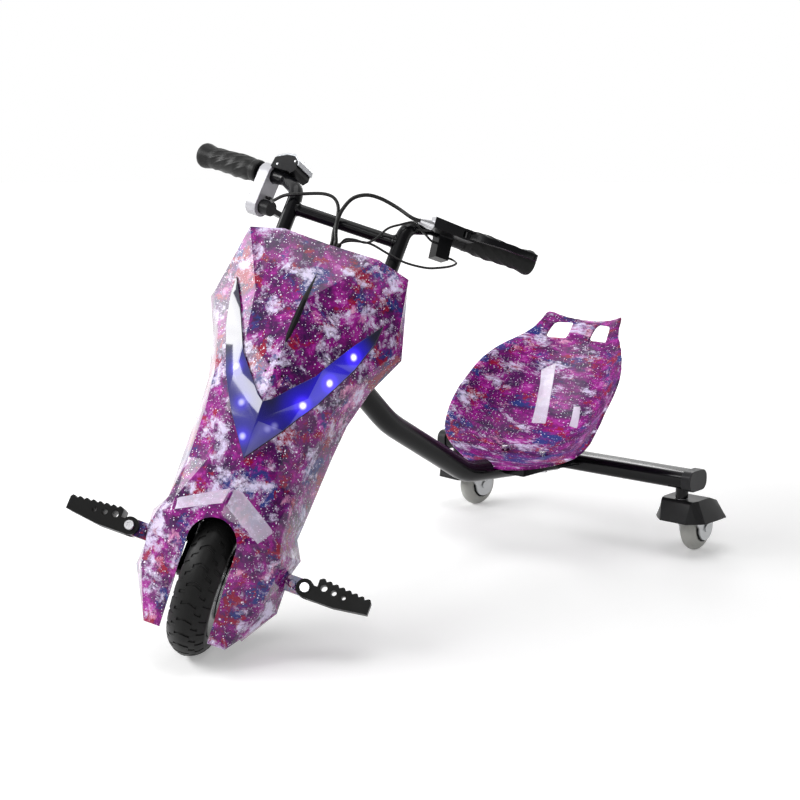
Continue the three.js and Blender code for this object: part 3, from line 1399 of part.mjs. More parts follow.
const crossbarGroup = new THREE.Group();
crossbarGroup.position.set(0, crossbarBack, crossbarHeight);
crossbarGroup.add(
  part('crossbar', crossbar(), blackPaint),
  part('end_cap_left', endCap(1), greyPlastic),
  part('end_cap_right', endCap(-1), greyPlastic),
);

const rear = new THREE.Group();
rear.add(
  part('main_tube', mainTube(), blackPaint),
  part('seat_bracket', seatBracket(), blackPaint),
  part('seat_shell', seatShell(), printedPlastic),
  part('seat_bolt_left', seatBolt(1), steel),
  part('seat_bolt_right', seatBolt(-1), steel),
  crossbarGroup,
);

for (const [name, side] of [['left', 1], ['right', -1]]) {
  const caster = new THREE.Group();
  caster.position.set(side * (crossbarHalfLength - casterInset), crossbarBack, 0);
  if (side < 0) caster.rotation.z = rightCasterTurn;
  const roller = new THREE.Group();
  roller.position.set(0, casterTrail, casterRadius);
  roller.add(
    part(`caster_tread_${name}`, casterTread(), palePolyurethane),
    part(`caster_hub_${name}`, casterHub(), blackPlastic),
  );
  caster.add(
    part(`caster_stem_${name}`, casterStem(), blackPaint),
    part(`caster_fork_${name}`, casterFork(), steel),
    part(`caster_fender_${name}`, fender(), greyPlastic),
    roller,
  );
  rear.add(caster);
}

// The whole trike stands on the ground with the middle of its box over the origin.
const trike = new THREE.Group();
trike.add(frontEnd, rear);
trike.updateMatrixWorld(true);
const box = new THREE.Box3().setFromObject(trike, true);
const middle = box.getCenter(new THREE.Vector3());
trike.position.set(-middle.x, -middle.y, -box.min.z);
const model = new THREE.Group();
model.add(trike);

export default model;
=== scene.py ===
import json
import math

import bmesh
import bpy
from mathutils import Matrix, Vector
from mathutils.bvhtree import BVHTree


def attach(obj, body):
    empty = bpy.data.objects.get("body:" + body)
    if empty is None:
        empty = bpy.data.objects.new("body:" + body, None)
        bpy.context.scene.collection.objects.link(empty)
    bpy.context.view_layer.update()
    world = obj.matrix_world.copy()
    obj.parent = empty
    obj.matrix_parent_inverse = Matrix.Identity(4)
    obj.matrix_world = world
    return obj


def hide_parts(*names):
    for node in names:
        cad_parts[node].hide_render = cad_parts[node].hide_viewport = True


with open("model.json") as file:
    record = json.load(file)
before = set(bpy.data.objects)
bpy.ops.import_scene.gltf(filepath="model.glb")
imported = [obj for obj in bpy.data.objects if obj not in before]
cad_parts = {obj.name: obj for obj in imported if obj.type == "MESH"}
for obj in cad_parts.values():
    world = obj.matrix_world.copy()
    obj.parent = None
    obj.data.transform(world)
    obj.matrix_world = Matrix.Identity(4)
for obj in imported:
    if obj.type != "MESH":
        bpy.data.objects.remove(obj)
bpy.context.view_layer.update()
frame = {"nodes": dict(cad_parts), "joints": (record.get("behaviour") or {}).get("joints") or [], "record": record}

# The camera stands where the photographer stood: to the left of the rider's line, a little above the
# handlebar. Its place is measured from the point halfway up the head tube, which the steering turns about.
joint_at = {joint["name"]: Vector(joint.get("pos_m", (0, 0, 0))) for joint in frame["joints"]}
steering_middle = joint_at["steering"]
camera_azimuth, camera_elevation = math.radians(42.1), math.radians(9.8)
camera_stand = Vector((1.2564, -1.22112, 0.2122))
camera_back = Vector((math.sin(camera_azimuth) * math.cos(camera_elevation),
                      -math.cos(camera_azimuth) * math.cos(camera_elevation), math.sin(camera_elevation)))
camera_data = bpy.data.cameras.new("camera")
camera_data.sensor_width = 36
camera_data.lens = 62.36
camera = bpy.data.objects.new("camera", camera_data)
camera.location = steering_middle + camera_stand
camera.rotation_euler = camera_back.to_track_quat("Z", "Y").to_euler()
bpy.context.scene.collection.objects.link(camera)
bpy.context.scene.camera = camera
bpy.context.scene.view_settings.view_transform = "Standard"

# A white photographic sweep: a pale floor that keeps the trike's shadow and a white surround that gloss
# and clear plastic mirror, dim on the rider's left as a black flag leaves it. One large soft lamp stands
# high on the camera's left, a small one on its right, one overhead and one behind.
white = (1, 1, 1, 1)
flag_side, flag_edge, flag_heart = (0.992, -0.087, 0.087), 0.35, 0.8
surround_on_trike = 0.25
floor_size, floor_near, floor_far, floor_near_share = 30, 0.8, 2.4, 0.3


def feed(tree, socket, value):
    if isinstance(value, bpy.types.NodeSocket):
        tree.links.new(value, socket)
    else:
        socket.default_value = value


def fit(tree, node, **values):
    for name, value in values.items():
        feed(tree, node.inputs[name.replace("_", " ")], value)
    return node


def linked(tree, kind, **values):
    return fit(tree, tree.nodes.new(kind), **values)


def combined(tree, kind, operation, *values):
    made = tree.nodes.new(kind)
    made.operation = operation
    for socket, value in zip(made.inputs, values):
        feed(tree, socket, value)
    return made


def ranged(tree, value, start, end, low, high, ease="LINEAR"):
    made = linked(tree, "ShaderNodeMapRange", Value=value, From_Min=start, From_Max=end, To_Min=low,
                  To_Max=high)
    made.interpolation_type = ease
    return made.outputs[0]


def node_material(name):
    material = bpy.data.materials.new(name)
    material.use_nodes = True
    return material, material.node_tree, material.node_tree.nodes["Principled BSDF"]


def coords_of(tree, kind="Object"):
    return tree.nodes.new("ShaderNodeTexCoord").outputs[kind]


def soft_lamp(name, place, aim, width, height, power):
    data = bpy.data.lights.new(name, "AREA")
    data.shape = "RECTANGLE"
    data.size, data.size_y = width, height
    data.energy = power
    lamp = bpy.data.objects.new(name, data)
    lamp.location = place
    lamp.rotation_euler = (Vector(place) - Vector(aim)).to_track_quat("Z", "Y").to_euler()
    bpy.context.scene.collection.objects.link(lamp)


world = bpy.data.worlds.new("surround")
bpy.context.scene.world = world
world.use_nodes = True
surround = world.node_tree
rays = surround.nodes.new("ShaderNodeLightPath").outputs
seen = combined(surround, "ShaderNodeMath", "MAXIMUM", rays["Is Camera Ray"], rays["Is Transmission Ray"])
looking = coords_of(surround, "Generated")
towards_flag = combined(surround, "ShaderNodeVectorMath", "DOT_PRODUCT", looking, flag_side)
unflagged = ranged(surround, towards_flag.outputs["Value"], flag_edge, flag_heart, 1, 0, "SMOOTHSTEP")
mirrored = combined(surround, "ShaderNodeMath", "MULTIPLY", rays["Is Glossy Ray"], unflagged)
bright = combined(surround, "ShaderNodeMath", "MAXIMUM", seen.outputs[0], mirrored.outputs[0])
fit(surround, surround.nodes["Background"], Color=white,
    Strength=ranged(surround, bright.outputs[0], 0, 1, surround_on_trike, 1))

soft_lamp("key", (-1.55, -2.15, 1.9), (0, -0.2, 0.4), 3.3, 0.95, 84)
soft_lamp("side", (1.8, -2.2, 1.6), (0, 0, 0.3), 0.5, 0.9, 12)
soft_lamp("top", (0.2, -0.1, 2.9), (0, 0, 0.2), 2.0, 2.0, 27)
soft_lamp("back", (-1.4, 2.2, 1.4), (0, 0.1, 0.3), 0.8, 1.0, 12)

floor_bm = bmesh.new()
bmesh.ops.create_grid(floor_bm, x_segments=1, y_segments=1, size=floor_size)
floor_mesh = bpy.data.meshes.new("floor")
floor_bm.to_mesh(floor_mesh)
floor_bm.free()
floor = bpy.data.objects.new("floor", floor_mesh)
bpy.context.scene.collection.objects.link(floor)
floor_paper, paper, paper_surface = node_material("white_paper")
fit(paper, paper_surface, Base_Color=(0.86, 0.86, 0.86, 1), Roughness=0.9, Specular_IOR_Level=0.1)
rays = paper.nodes.new("ShaderNodeLightPath").outputs
paper_seen = combined(paper, "ShaderNodeMath", "MAXIMUM", rays["Is Camera Ray"], rays["Is Glossy Ray"])
paper_reach = combined(paper, "ShaderNodeVectorMath", "LENGTH", coords_of(paper)).outputs["Value"]
paper_far = ranged(paper, paper_reach, floor_near, floor_far, floor_near_share, 1, "SMOOTHSTEP")
paper_glow = combined(paper, "ShaderNodeMath", "MULTIPLY", paper_seen.outputs[0], paper_far)
paper_lift = linked(paper, "ShaderNodeEmission", Strength=paper_glow.outputs[0])
paper_sum = paper.nodes.new("ShaderNodeAddShader")
paper.links.new(paper_surface.outputs[0], paper_sum.inputs[0])
paper.links.new(paper_lift.outputs[0], paper_sum.inputs[1])
fit(paper, paper.nodes["Material Output"], Surface=paper_sum.outputs[0])
floor_mesh.materials.append(floor_paper)

# The front housing is one moulded ABS shell in flat facets with soft edges, covered all over by a
# night-sky print under a clear gloss coat. Inside it is black plastic, made near black as painted shade in the
# wheel arch. It is bolted to the fork.
bodies = frame["record"]["behaviour"]["bodies"]
body_of_node = {node: body for body, nodes in bodies.items() for node in nodes}
rake, rest_turn = math.radians(29.757), math.radians(38.15)
steering_middle_up = 0.43
front_lean = Matrix.Rotation(-rake, 4, "X") @ Matrix.Rotation(rest_turn, 4, "Z")
to_foot_of_axis = Matrix.Translation((0, 0, -steering_middle_up))
front_place = Matrix.Translation(steering_middle) @ front_lean @ to_foot_of_axis
to_front = front_place.inverted()
shell_heart_ahead, shell_heart_low, shell_heart_high = 0.03, 0.07, 0.45


def front(across, up, ahead):
    return front_place @ Vector((across, -ahead, up))


def speckle(tree, coords, scale, size, share):
    cells = linked(tree, "ShaderNodeTexVoronoi", Vector=coords, Scale=scale, Randomness=1.0)
    pick = linked(tree, "ShaderNodeSeparateColor", Color=cells.outputs["Color"])
    wanted = ranged(tree, pick.outputs[0], 1 - share, 1, 0, size)
    return combined(tree, "ShaderNodeMath", "LESS_THAN", cells.outputs["Distance"], wanted).outputs[0]


def laid_over(tree, colour, share, tint):
    mix = tree.nodes.new("ShaderNodeMix")
    mix.data_type = "RGBA"
    factor, under, over, mixed = mix.inputs[0], mix.inputs[6], mix.inputs[7], mix.outputs[2]
    feed(tree, factor, share)
    feed(tree, under, colour)
    feed(tree, over, tint)
    return mixed


def night_print(name, stretch, offset, roughness=0.16, coat=0.22, painted_reflection=0.0, gloss=0.22, pale=0.515):
    material, tree, surface = node_material(name)
    coords = coords_of(tree)
    laid = linked(tree, "ShaderNodeMapping", Vector=coords, Location=offset, Scale=stretch).outputs[0]
    drift = linked(tree, "ShaderNodeTexNoise", Vector=laid, Scale=26.0, Detail=3.0)
    bend = combined(tree, "ShaderNodeVectorMath", "SCALE", drift.outputs["Color"])
    bend.inputs["Scale"].default_value = 0.022
    place = combined(tree, "ShaderNodeVectorMath", "ADD", laid, bend.outputs[0]).outputs[0]
    ground_noise = linked(tree, "ShaderNodeTexNoise", Vector=place, Scale=38.0, Detail=7.0, Roughness=0.72)
    ground = tree.nodes.new("ShaderNodeValToRGB")
    tree.links.new(ground_noise.outputs["Fac"], ground.inputs[0])
    stops = [(0.35, (0.015, 0.002, 0.04, 1)), (0.45, (0.07, 0.002, 0.085, 1)),
             (0.53, (0.19, 0.002, 0.16, 1)), (0.61, (0.38, 0.012, 0.3, 1)), (0.72, (0.64, 0.22, 0.6, 1))]
    ramp = ground.color_ramp
    ramp.elements[0].position, ramp.elements[0].color = stops[0]
    ramp.elements[1].position, ramp.elements[1].color = stops[-1]
    for stop, tint in stops[1:-1]:
        ramp.elements.new(stop).color = tint
    colour = ground.outputs["Color"]
    blue_cloud = (20.0, (3.1, 0.4, 1.7), 0.54, 0.58, (0.014, 0.032, 0.2, 1), 7.0, 0.94)
    crimson_cloud = (24.0, (7.3, 2.2, 0.3), 0.555, 0.59, (0.3, 0.002, 0.03, 1), 7.0, 0.95)
    pink_cloud = (21.0, (1.2, 8.4, 5.5), 0.58, 0.66, (0.86, 0.36, 0.6, 1), 7.0, 0.8)
    pale_cloud = (27.0, (5.9, 4.1, 9.2), pale, pale + 0.085, (0.76, 0.68, 0.92, 1), 12.0, 0.96)
    for scale, start, low, high, tint, detail, most in (blue_cloud, crimson_cloud, pink_cloud, pale_cloud):
        moved = combined(tree, "ShaderNodeVectorMath", "ADD", place, start).outputs[0]
        noise = linked(tree, "ShaderNodeTexNoise", Vector=moved, Scale=scale, Detail=detail, Roughness=0.76)
        colour = laid_over(tree, colour, ranged(tree, noise.outputs["Fac"], low, high, 0, most), tint)
    for scale, size, amount in ((210.0, 0.2, 0.55), (120.0, 0.16, 0.4), (420.0, 0.3, 0.6)):
        colour = laid_over(tree, colour, speckle(tree, laid, scale, size, amount), (0.92, 0.86, 1, 1))
    # Painted reflection: where it is set, a pale lavender haze is laid over the print to stand for the white
    # surround mirrored in it.
    if painted_reflection:
        painted_reflection_share = ranged(tree, drift.outputs["Fac"], 0, 1, painted_reflection - 0.15, painted_reflection + 0.15)
        colour = laid_over(tree, colour, painted_reflection_share, (0.72, 0.66, 0.8, 1))
    ripple = linked(tree, "ShaderNodeTexNoise", Vector=coords, Scale=60.0, Detail=2.0)
    orange_peel = linked(tree, "ShaderNodeBump", Height=ripple.outputs["Fac"], Strength=0.12, Distance=0.0006)
    fit(tree, surface, Base_Color=colour, Normal=orange_peel.outputs[0], Roughness=roughness,
        Specular_IOR_Level=gloss, Coat_Weight=coat, Coat_Roughness=0.05)
    return material


def finish(name, colour, roughness, metallic=0.0, coat=0.0, grain=400.0, depth=0.0002, gloss=0.5):
    wear = 0.08
    material, tree, surface = node_material(name)
    coords = coords_of(tree)
    fine = linked(tree, "ShaderNodeTexNoise", Vector=coords, Scale=grain, Detail=3.0)
    bump = linked(tree, "ShaderNodeBump", Height=fine.outputs["Fac"], Strength=0.25, Distance=depth)
    broad = linked(tree, "ShaderNodeTexNoise", Vector=coords, Scale=18.0, Detail=4.0).outputs["Fac"]
    rough = ranged(tree, broad, 0.3, 0.7, max(roughness - wear, 0.02), min(roughness + wear, 1))
    darker, paler = [(*[min(c * tone, 1) for c in colour], 1) for tone in (0.88, 1.1)]
    tone = laid_over(tree, darker, broad, paler)
    fit(tree, surface, Base_Color=tone, Normal=bump.outputs[0], Roughness=rough, Metallic=metallic,
        Specular_IOR_Level=gloss, Coat_Weight=coat, Coat_Roughness=0.08)
    return material


def new_piece(name, bm, finishes, body, sharp=35):
    mesh = bpy.data.meshes.new(name)
    bm.to_mesh(mesh)
    bm.free()
    for material in finishes:
        mesh.materials.append(material)
    mesh.shade_smooth()
    mesh.set_sharp_from_angle(angle=math.radians(sharp))
    piece = bpy.data.objects.new(name, mesh)
    bpy.context.scene.collection.objects.link(piece)
    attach(piece, body)
    return piece


def merged(node, flat=0.5):
    bm = bmesh.new()
    bm.from_mesh(frame["nodes"][node].data)
    bmesh.ops.remove_doubles(bm, verts=bm.verts, dist=0.00001)
    if flat:
        bmesh.ops.dissolve_limit(bm, angle_limit=math.radians(flat), verts=bm.verts, edges=bm.edges)
    bm.normal_update()
    return bm


def eased(piece, width, segments=3, angle=28):
    bevel = piece.modifiers.new("eased_edges", "BEVEL")
    bevel.width = width
    bevel.segments = segments
    bevel.limit_method = "ANGLE"
    bevel.angle_limit = math.radians(angle)
    bevel.harden_normals = True


def dressed(node, material, width=0.0008, segments=2):
    piece = new_piece(node + "_finished", merged(node), [material], body_of_node[node])
    eased(piece, width, segments)
    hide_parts(node)
    return piece


shell_print = night_print("night_print_on_shell", (1, 1, 1), (0.31, 0.12, 0.07))
# The shell's inside faces get this near black: black plastic, and painted shade in the wheel arch.
shell_inside_black_and_painted_shade = finish("shell_inside_black_and_painted_shade", (0.004, 0.004, 0.005), 0.5, grain=500, depth=0.0001, gloss=0.08)
shell_bm = merged("front_shell", 0.4)
for face in shell_bm.faces:
    middle = to_front @ face.calc_center_median()
    outwards = to_front.to_3x3() @ face.normal
    heart = Vector((0, -shell_heart_ahead, min(max(middle.z, shell_heart_low), shell_heart_high)))
    face.material_index = 0 if outwards.dot(middle - heart) > 0 else 1
housing = new_piece("housing", shell_bm, [shell_print, shell_inside_black_and_painted_shade], "steering")
eased(housing, 0.0016, 3, 14)
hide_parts("front_shell")

# The two facets over the wheel arch stand a little proud of the shell, and meet over its middle in a shallow
# chevron.
# Their print is made pale by a painted reflection: a lavender haze laid over it.
facet_cuts, facet_drop, facet_rise_share, facet_edge_share = 7, 0.03, 0.3, 0.3
arch_facet_height = 0.0012
chevron_right = [(-0.0607, 0.1604, 0.1117), (-0.0594, 0.1456, 0.1167), (-0.0024, 0.1726, 0.1315),
                 (-0.0024, 0.1935, 0.118)]
chevron_left = [(0.0024, 0.1935, 0.118), (0.0024, 0.1706, 0.1315), (0.05, 0.1426, 0.1209),
                (0.0613, 0.1622, 0.1107), (0.0124, 0.1927, 0.1161)]


def skin_of(node):
    bm = merged(node, 0)
    tree = BVHTree.FromBMesh(bm)
    bm.free()
    return tree


def raised_facet(name, outline, skin, height, material, body):
    bm = bmesh.new()
    face = bm.faces.new([bm.verts.new(place) for place in outline])
    bm.normal_update()
    outwards = face.normal.copy()
    bmesh.ops.triangulate(bm, faces=bm.faces)
    bmesh.ops.subdivide_edges(bm, edges=bm.edges, cuts=facet_cuts, use_grid_fill=True)
    for vert in bm.verts:
        struck = skin.ray_cast(vert.co + outwards * facet_drop, -outwards)[0]
        vert.co = struck + outwards * height * facet_rise_share
    bmesh.ops.recalc_face_normals(bm, faces=bm.faces)
    if sum((face.normal for face in bm.faces), Vector()).dot(outwards) < 0:
        bmesh.ops.reverse_faces(bm, faces=bm.faces)
    bmesh.ops.solidify(bm, geom=bm.faces, thickness=height)
    eased(new_piece(name, bm, [material], body, 40), height * facet_edge_share, 2, 50)


# The arch facets' print carries a painted reflection, a pale haze laid over it.
arch_facet_painted_reflection = night_print("print_with_painted_reflection_on_arch_facets", (1, 1, 1), (0.2, 0.6, 0.4), roughness=0.2, coat=0.3,
                         painted_reflection=0.66)
shell_skin = skin_of("front_shell")
for side, outline in (("right", chevron_right), ("left", chevron_left)):
    raised_facet("arch_facet_" + side, [front(*place) for place in outline], shell_skin, arch_facet_height,
                 arch_facet_painted_reflection, "steering")

# The housing's back is closed by a black ABS tray that screws to the shell's rim. It carries the round
# charging socket, and its window clears the head tube and the main tube as the front end turns.
black_satin = finish("black_satin_plastic", (0.006, 0.006, 0.007), 0.34, grain=600, depth=0.00015, gloss=0.15)
dressed("rear_cover", black_satin, 0.0015, 3)
dressed("charge_port", black_satin)

# The V-shaped light is a deep blue tinted lens with a gloss face, held from behind by its flange. A board
# with small blue lamps stands behind it, so the lens glows round each lamp and is nearly black at its ends.
lamp_places = [(76.4, 389.7, 104, 1.0), (61.8, 348, 115.2, 1.0), (43.3, 310.1, 126.8, 0.9),
               (21.2, 276, 130.3, 0.1), (14.9, 269.9, 131, 0.1), (-47.1, 328.6, 126.5, 0.4),
               (-24.8, 289.7, 130.6, 0.35), (-9.7, 253, 128.4, 0.4)]
lamp_glows = [(0.042, (0.012, 0.0, 0.7), 0.9), (0.017, (0.07, 0.03, 1.0), 1.1),
              (0.0065, (0.75, 0.75, 1.0), 2.2)]
least_facing_ahead = 0.35
lens_tint, lens_tree, lens_surface = node_material("blue_lens")
lens_coords = coords_of(lens_tree)
glow = (0, 0, 0)
for across, up, ahead, power in lamp_places:
    lamp_place = front(across / 1000, up / 1000, ahead / 1000)
    away = combined(lens_tree, "ShaderNodeVectorMath", "DISTANCE", lens_coords, lamp_place)
    for reach, tint, strength in lamp_glows:
        near = ranged(lens_tree, away.outputs["Value"], 0, reach, strength * power, 0, "SMOOTHERSTEP")
        tinted = combined(lens_tree, "ShaderNodeVectorMath", "SCALE", tint)
        fit(lens_tree, tinted, Scale=near)
        glow = combined(lens_tree, "ShaderNodeVectorMath", "ADD", glow, tinted.outputs[0]).outputs[0]
fit(lens_tree, lens_surface, Emission_Color=glow, Emission_Strength=1.0, Base_Color=(0.004, 0.003, 0.03, 1),
    Roughness=0.1, Specular_IOR_Level=0.5, Coat_Weight=0.6, Coat_Roughness=0.03)
lens_wall = finish("lens_wall", (0.02, 0.02, 0.026), 0.3, grain=500, depth=0.00005, gloss=0.3)
lens_bm = merged("light_lens", 0.4)
for face in lens_bm.faces:
    facing = -(to_front.to_3x3() @ face.normal).y
    face.material_index = 1 if facing < least_facing_ahead else 0
lens = new_piece("light_lens_finished", lens_bm, [lens_tint, lens_wall], "steering")
eased(lens, 0.0012, 3, 25)
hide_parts("light_lens")
dressed("light_board", finish("green_board", (0.02, 0.12, 0.06), 0.5), 0.0003)
dressed("slit_insert", black_satin, 0.0006)
dressed("speaker", black_satin, 0.001)

# The front wheel: a pneumatic rubber tyre with a chevron of tread blocks, seated on the black painted
# shell of the hub motor, which turns on a fixed steel axle with a band brake plate on its left.
wheel_place = Matrix.Translation(joint_at["front_wheel_spin"]) @ front_lean
rim_radius, tyre_radius, tyre_half_width = 0.064, 0.1, 0.0235
tread_height, tread_inset, tread_steps, block_pitch, row_shift = 0.0013, 0.0004, 168, 6, 2
tread_foot_share, middle_row_share, groove_share, side_row_share = 0.62, 0.3, 0.38, 0.6
chevron_turn = 0.13
tyre_shares = [(0, 0.74), (0.12, 0.755), (0.19, 0.79), (0.26, 0.9), (0.35, 0.975), (0.46, 1), (0.58, 0.95),
               (0.68, 0.86), (0.76, 0.76), (0.83, 0.64), (0.89, 0.51), (0.94, 0.37), (0.975, 0.22),
               (1, 0.07)]


def spun(profile, steps, place=Matrix.Identity(4)):
    bm = bmesh.new()
    verts = [bm.verts.new((along, 0, radius)) for radius, along in profile]
    edges = [bm.edges.new((a, b)) for a, b in zip(verts, verts[1:])]
    bmesh.ops.spin(bm, geom=verts + edges, cent=(0, 0, 0), axis=(1, 0, 0), angle=2 * math.pi, steps=steps,
                   use_merge=True, use_duplicate=False)
    bmesh.ops.remove_doubles(bm, verts=bm.verts, dist=0.000005)
    bmesh.ops.recalc_face_normals(bm, faces=bm.faces)
    bm.transform(place)
    return bm


tyre_depth = tyre_radius - rim_radius - tread_height
tyre_right = [(rim_radius + out * tyre_depth, across * tyre_half_width) for out, across in tyre_shares]
tyre_left = [(radius, -across) for radius, across in reversed(tyre_right)]
tyre_bm = spun([*tyre_right, *tyre_left, tyre_right[0]], tread_steps)
tread_blocks = []
for face in tyre_bm.faces:
    middle = face.calc_center_median()
    turn = round(math.atan2(middle.y, middle.z) / (2 * math.pi) * tread_steps - 0.5)
    out = abs(middle.x) / tyre_half_width
    row = 0 if out < middle_row_share else 1 if out < side_row_share else 2
    on_tread = math.hypot(middle.y, middle.z) > rim_radius + tread_foot_share * tyre_depth
    in_groove = middle_row_share < out < groove_share
    if on_tread and (turn + row_shift * row) % block_pitch and not in_groove:
        tread_blocks.append(face)
bmesh.ops.inset_region(tyre_bm, faces=tread_blocks, thickness=tread_inset, depth=tread_height,
                       use_boundary=True, use_even_offset=True)
for vert in tyre_bm.verts:
    vert.co = Matrix.Rotation(chevron_turn * abs(vert.co.x) / tyre_half_width, 3, "X") @ vert.co
tyre_bm.transform(wheel_place)
tyre_rubber = finish("tyre_rubber", (0.008, 0.008, 0.008), 0.4, grain=700, depth=0.0003, gloss=0.13)
tyre_piece = new_piece("tyre_with_tread", tyre_bm, [tyre_rubber], "front_wheel", 30)
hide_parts("tyre")

gloss_black = finish("gloss_black_paint", (0.004, 0.004, 0.005), 0.18, grain=300, depth=0.00004, gloss=0.2)
bright_steel = finish("bright_steel", (0.62, 0.62, 0.64), 0.26, metallic=1.0, grain=500, depth=0.00006)
dressed("motor_case", gloss_black, 0.001)
for node in ("motor_axle", "brake_plate", "axle_nut_left", "axle_nut_right"):
    dressed(node, bright_steel, 0.0006)

# The fork and its two crowns are welded steel under black paint. The steerer runs up through the head
# tube on two plain bearings and is held by a nut over the upper crown. The wrapped battery pack and the
# steel-cased controller are in the housing with them.
for node in ("fork", "head_tube", "steerer_tube"):
    dressed(node, gloss_black)
for node in ("lower_bearing", "upper_bearing", "steerer_nut"):
    dressed(node, bright_steel, 0.0006)
dressed("battery_pack", finish("blue_wrap", (0.03, 0.08, 0.24), 0.4), 0.003, 3)
dressed("motor_controller", bright_steel, 0.002, 3)

# The foot pegs are black moulded treads with a toothed top edge and lightening holes. Each folds on a
# bolt through its two cheeks, about a bracket tongue that carries the housing's print.
peg_bolt_place = (0.111, -0.0567, 0.119)
bolt_head_radius, bolt_head_height = 0.0064, 0.0032
head_taper_share, socket_rim_share, socket_step_share, socket_depth_share = 0.86, 0.34, 0.02, 0.6
facing_ahead = Matrix.Rotation(math.radians(90), 4, "X")
peg_black = finish("peg_black", (0.005, 0.005, 0.005), 0.4, grain=350, depth=0.0003, gloss=0.14)
bracket_print = night_print("night_print_on_brackets", (1, 1, 1), (0.05, 0.4, 0.2))
for side in ("left", "right"):
    dressed("peg_" + side, peg_black, 0.0009)
    dressed("peg_bracket_" + side, bracket_print)


def socket_bolt(name, place, radius, height, body):
    bm = bmesh.new()
    bmesh.ops.create_cone(bm, cap_ends=True, segments=30, radius1=radius, radius2=radius * head_taper_share,
                          depth=height)
    top = max(bm.faces, key=lambda face: face.calc_center_median().z)
    bmesh.ops.inset_individual(bm, faces=[top], thickness=radius * socket_rim_share)
    bmesh.ops.inset_individual(bm, faces=[top], thickness=radius * socket_step_share,
                               depth=-height * socket_depth_share)
    bm.transform(place)
    new_piece(name, bm, [bright_steel], body)


for side, sign in (("left", 1), ("right", -1)):
    dressed("peg_bolt_" + side, bright_steel, segments=3)
    across, back, up = peg_bolt_place
    head_place = front_place @ Matrix.Translation((sign * across, back, up)) @ facing_ahead
    socket_bolt("peg_bolt_head_" + side, head_place, bolt_head_radius, bolt_head_height, "steering")

# The handlebar is one steel tube of 19 mm on each side, from the lower crown up past the housing and
# outwards over a tight bend, with a welded brace between the two uprights. Gloss black paint covers it.
riser_across, riser_ahead = 0.073, 0.036
riser_foot, riser_top = (riser_across, 0.3846, riser_ahead), (riser_across, 0.588, riser_ahead)
bar_corner, bar_end = (0.1, 0.611, 0), (0.229, 0.632, -0.069)
bar_radius, bar_bend, brace_radius, brace_up = 0.0095, 0.026, 0.008, 0.565
weld_start = 0.0088
weld_profile = [(0.0098, 0.0), (0.0092, 0.0008), (0.0083, 0.0022), (0.008, 0.004)]


def bent_path(corners, bends):
    path = [corners[0]]
    for i, bend in enumerate(bends, 1):
        before = (corners[i] - corners[i - 1]).normalized()
        after = (corners[i + 1] - corners[i]).normalized()
        turn = before.angle(after)
        axle = before.cross(after).normalized()
        start = corners[i] - before * bend * math.tan(turn / 2)
        centre = start + axle.cross(before) * bend
        steps = max(4, round(turn / math.radians(4)))
        for step in range(steps + 1):
            path.append(centre + Matrix.Rotation(turn * step / steps, 3, axle) @ (start - centre))
    path.append(corners[-1])
    return path


def tube(name, path, radius, material, body):
    curve = bpy.data.curves.new(name, "CURVE")
    curve.dimensions = "3D"
    curve.bevel_depth = radius
    curve.bevel_resolution = 6
    curve.use_fill_caps = True
    line = curve.splines.new("POLY")
    line.points.add(len(path) - 1)
    for point, place in zip(line.points, path):
        point.co = (*place, 1)
    line.use_smooth = True
    curve.materials.append(material)
    piece = bpy.data.objects.new(name, curve)
    bpy.context.scene.collection.objects.link(piece)
    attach(piece, body)
    return piece


for side, sign in (("left", 1), ("right", -1)):
    corners = [front(sign * u, v, w) for u, v, w in (riser_foot, riser_top, bar_corner, bar_end)]
    line = bent_path(corners, [bar_bend, bar_bend])
    tube("bar_" + side, line, bar_radius, gloss_black, "steering")
brace_line = [front(sign * riser_across, brace_up, riser_ahead) for sign in (-1, 1)]
tube("bar_brace", brace_line, brace_radius, gloss_black, "steering")
for side, sign, half_turns in (("left", 1, 1), ("right", -1, 0)):
    weld_place = Matrix.Translation((sign * (riser_across - weld_start), -riser_ahead, brace_up))
    weld = spun(weld_profile, 32, front_place @ weld_place @ Matrix.Rotation(math.pi * half_turns, 4, "Z"))
    new_piece("brace_weld_" + side, weld, [gloss_black], "steering")
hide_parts("handlebar")

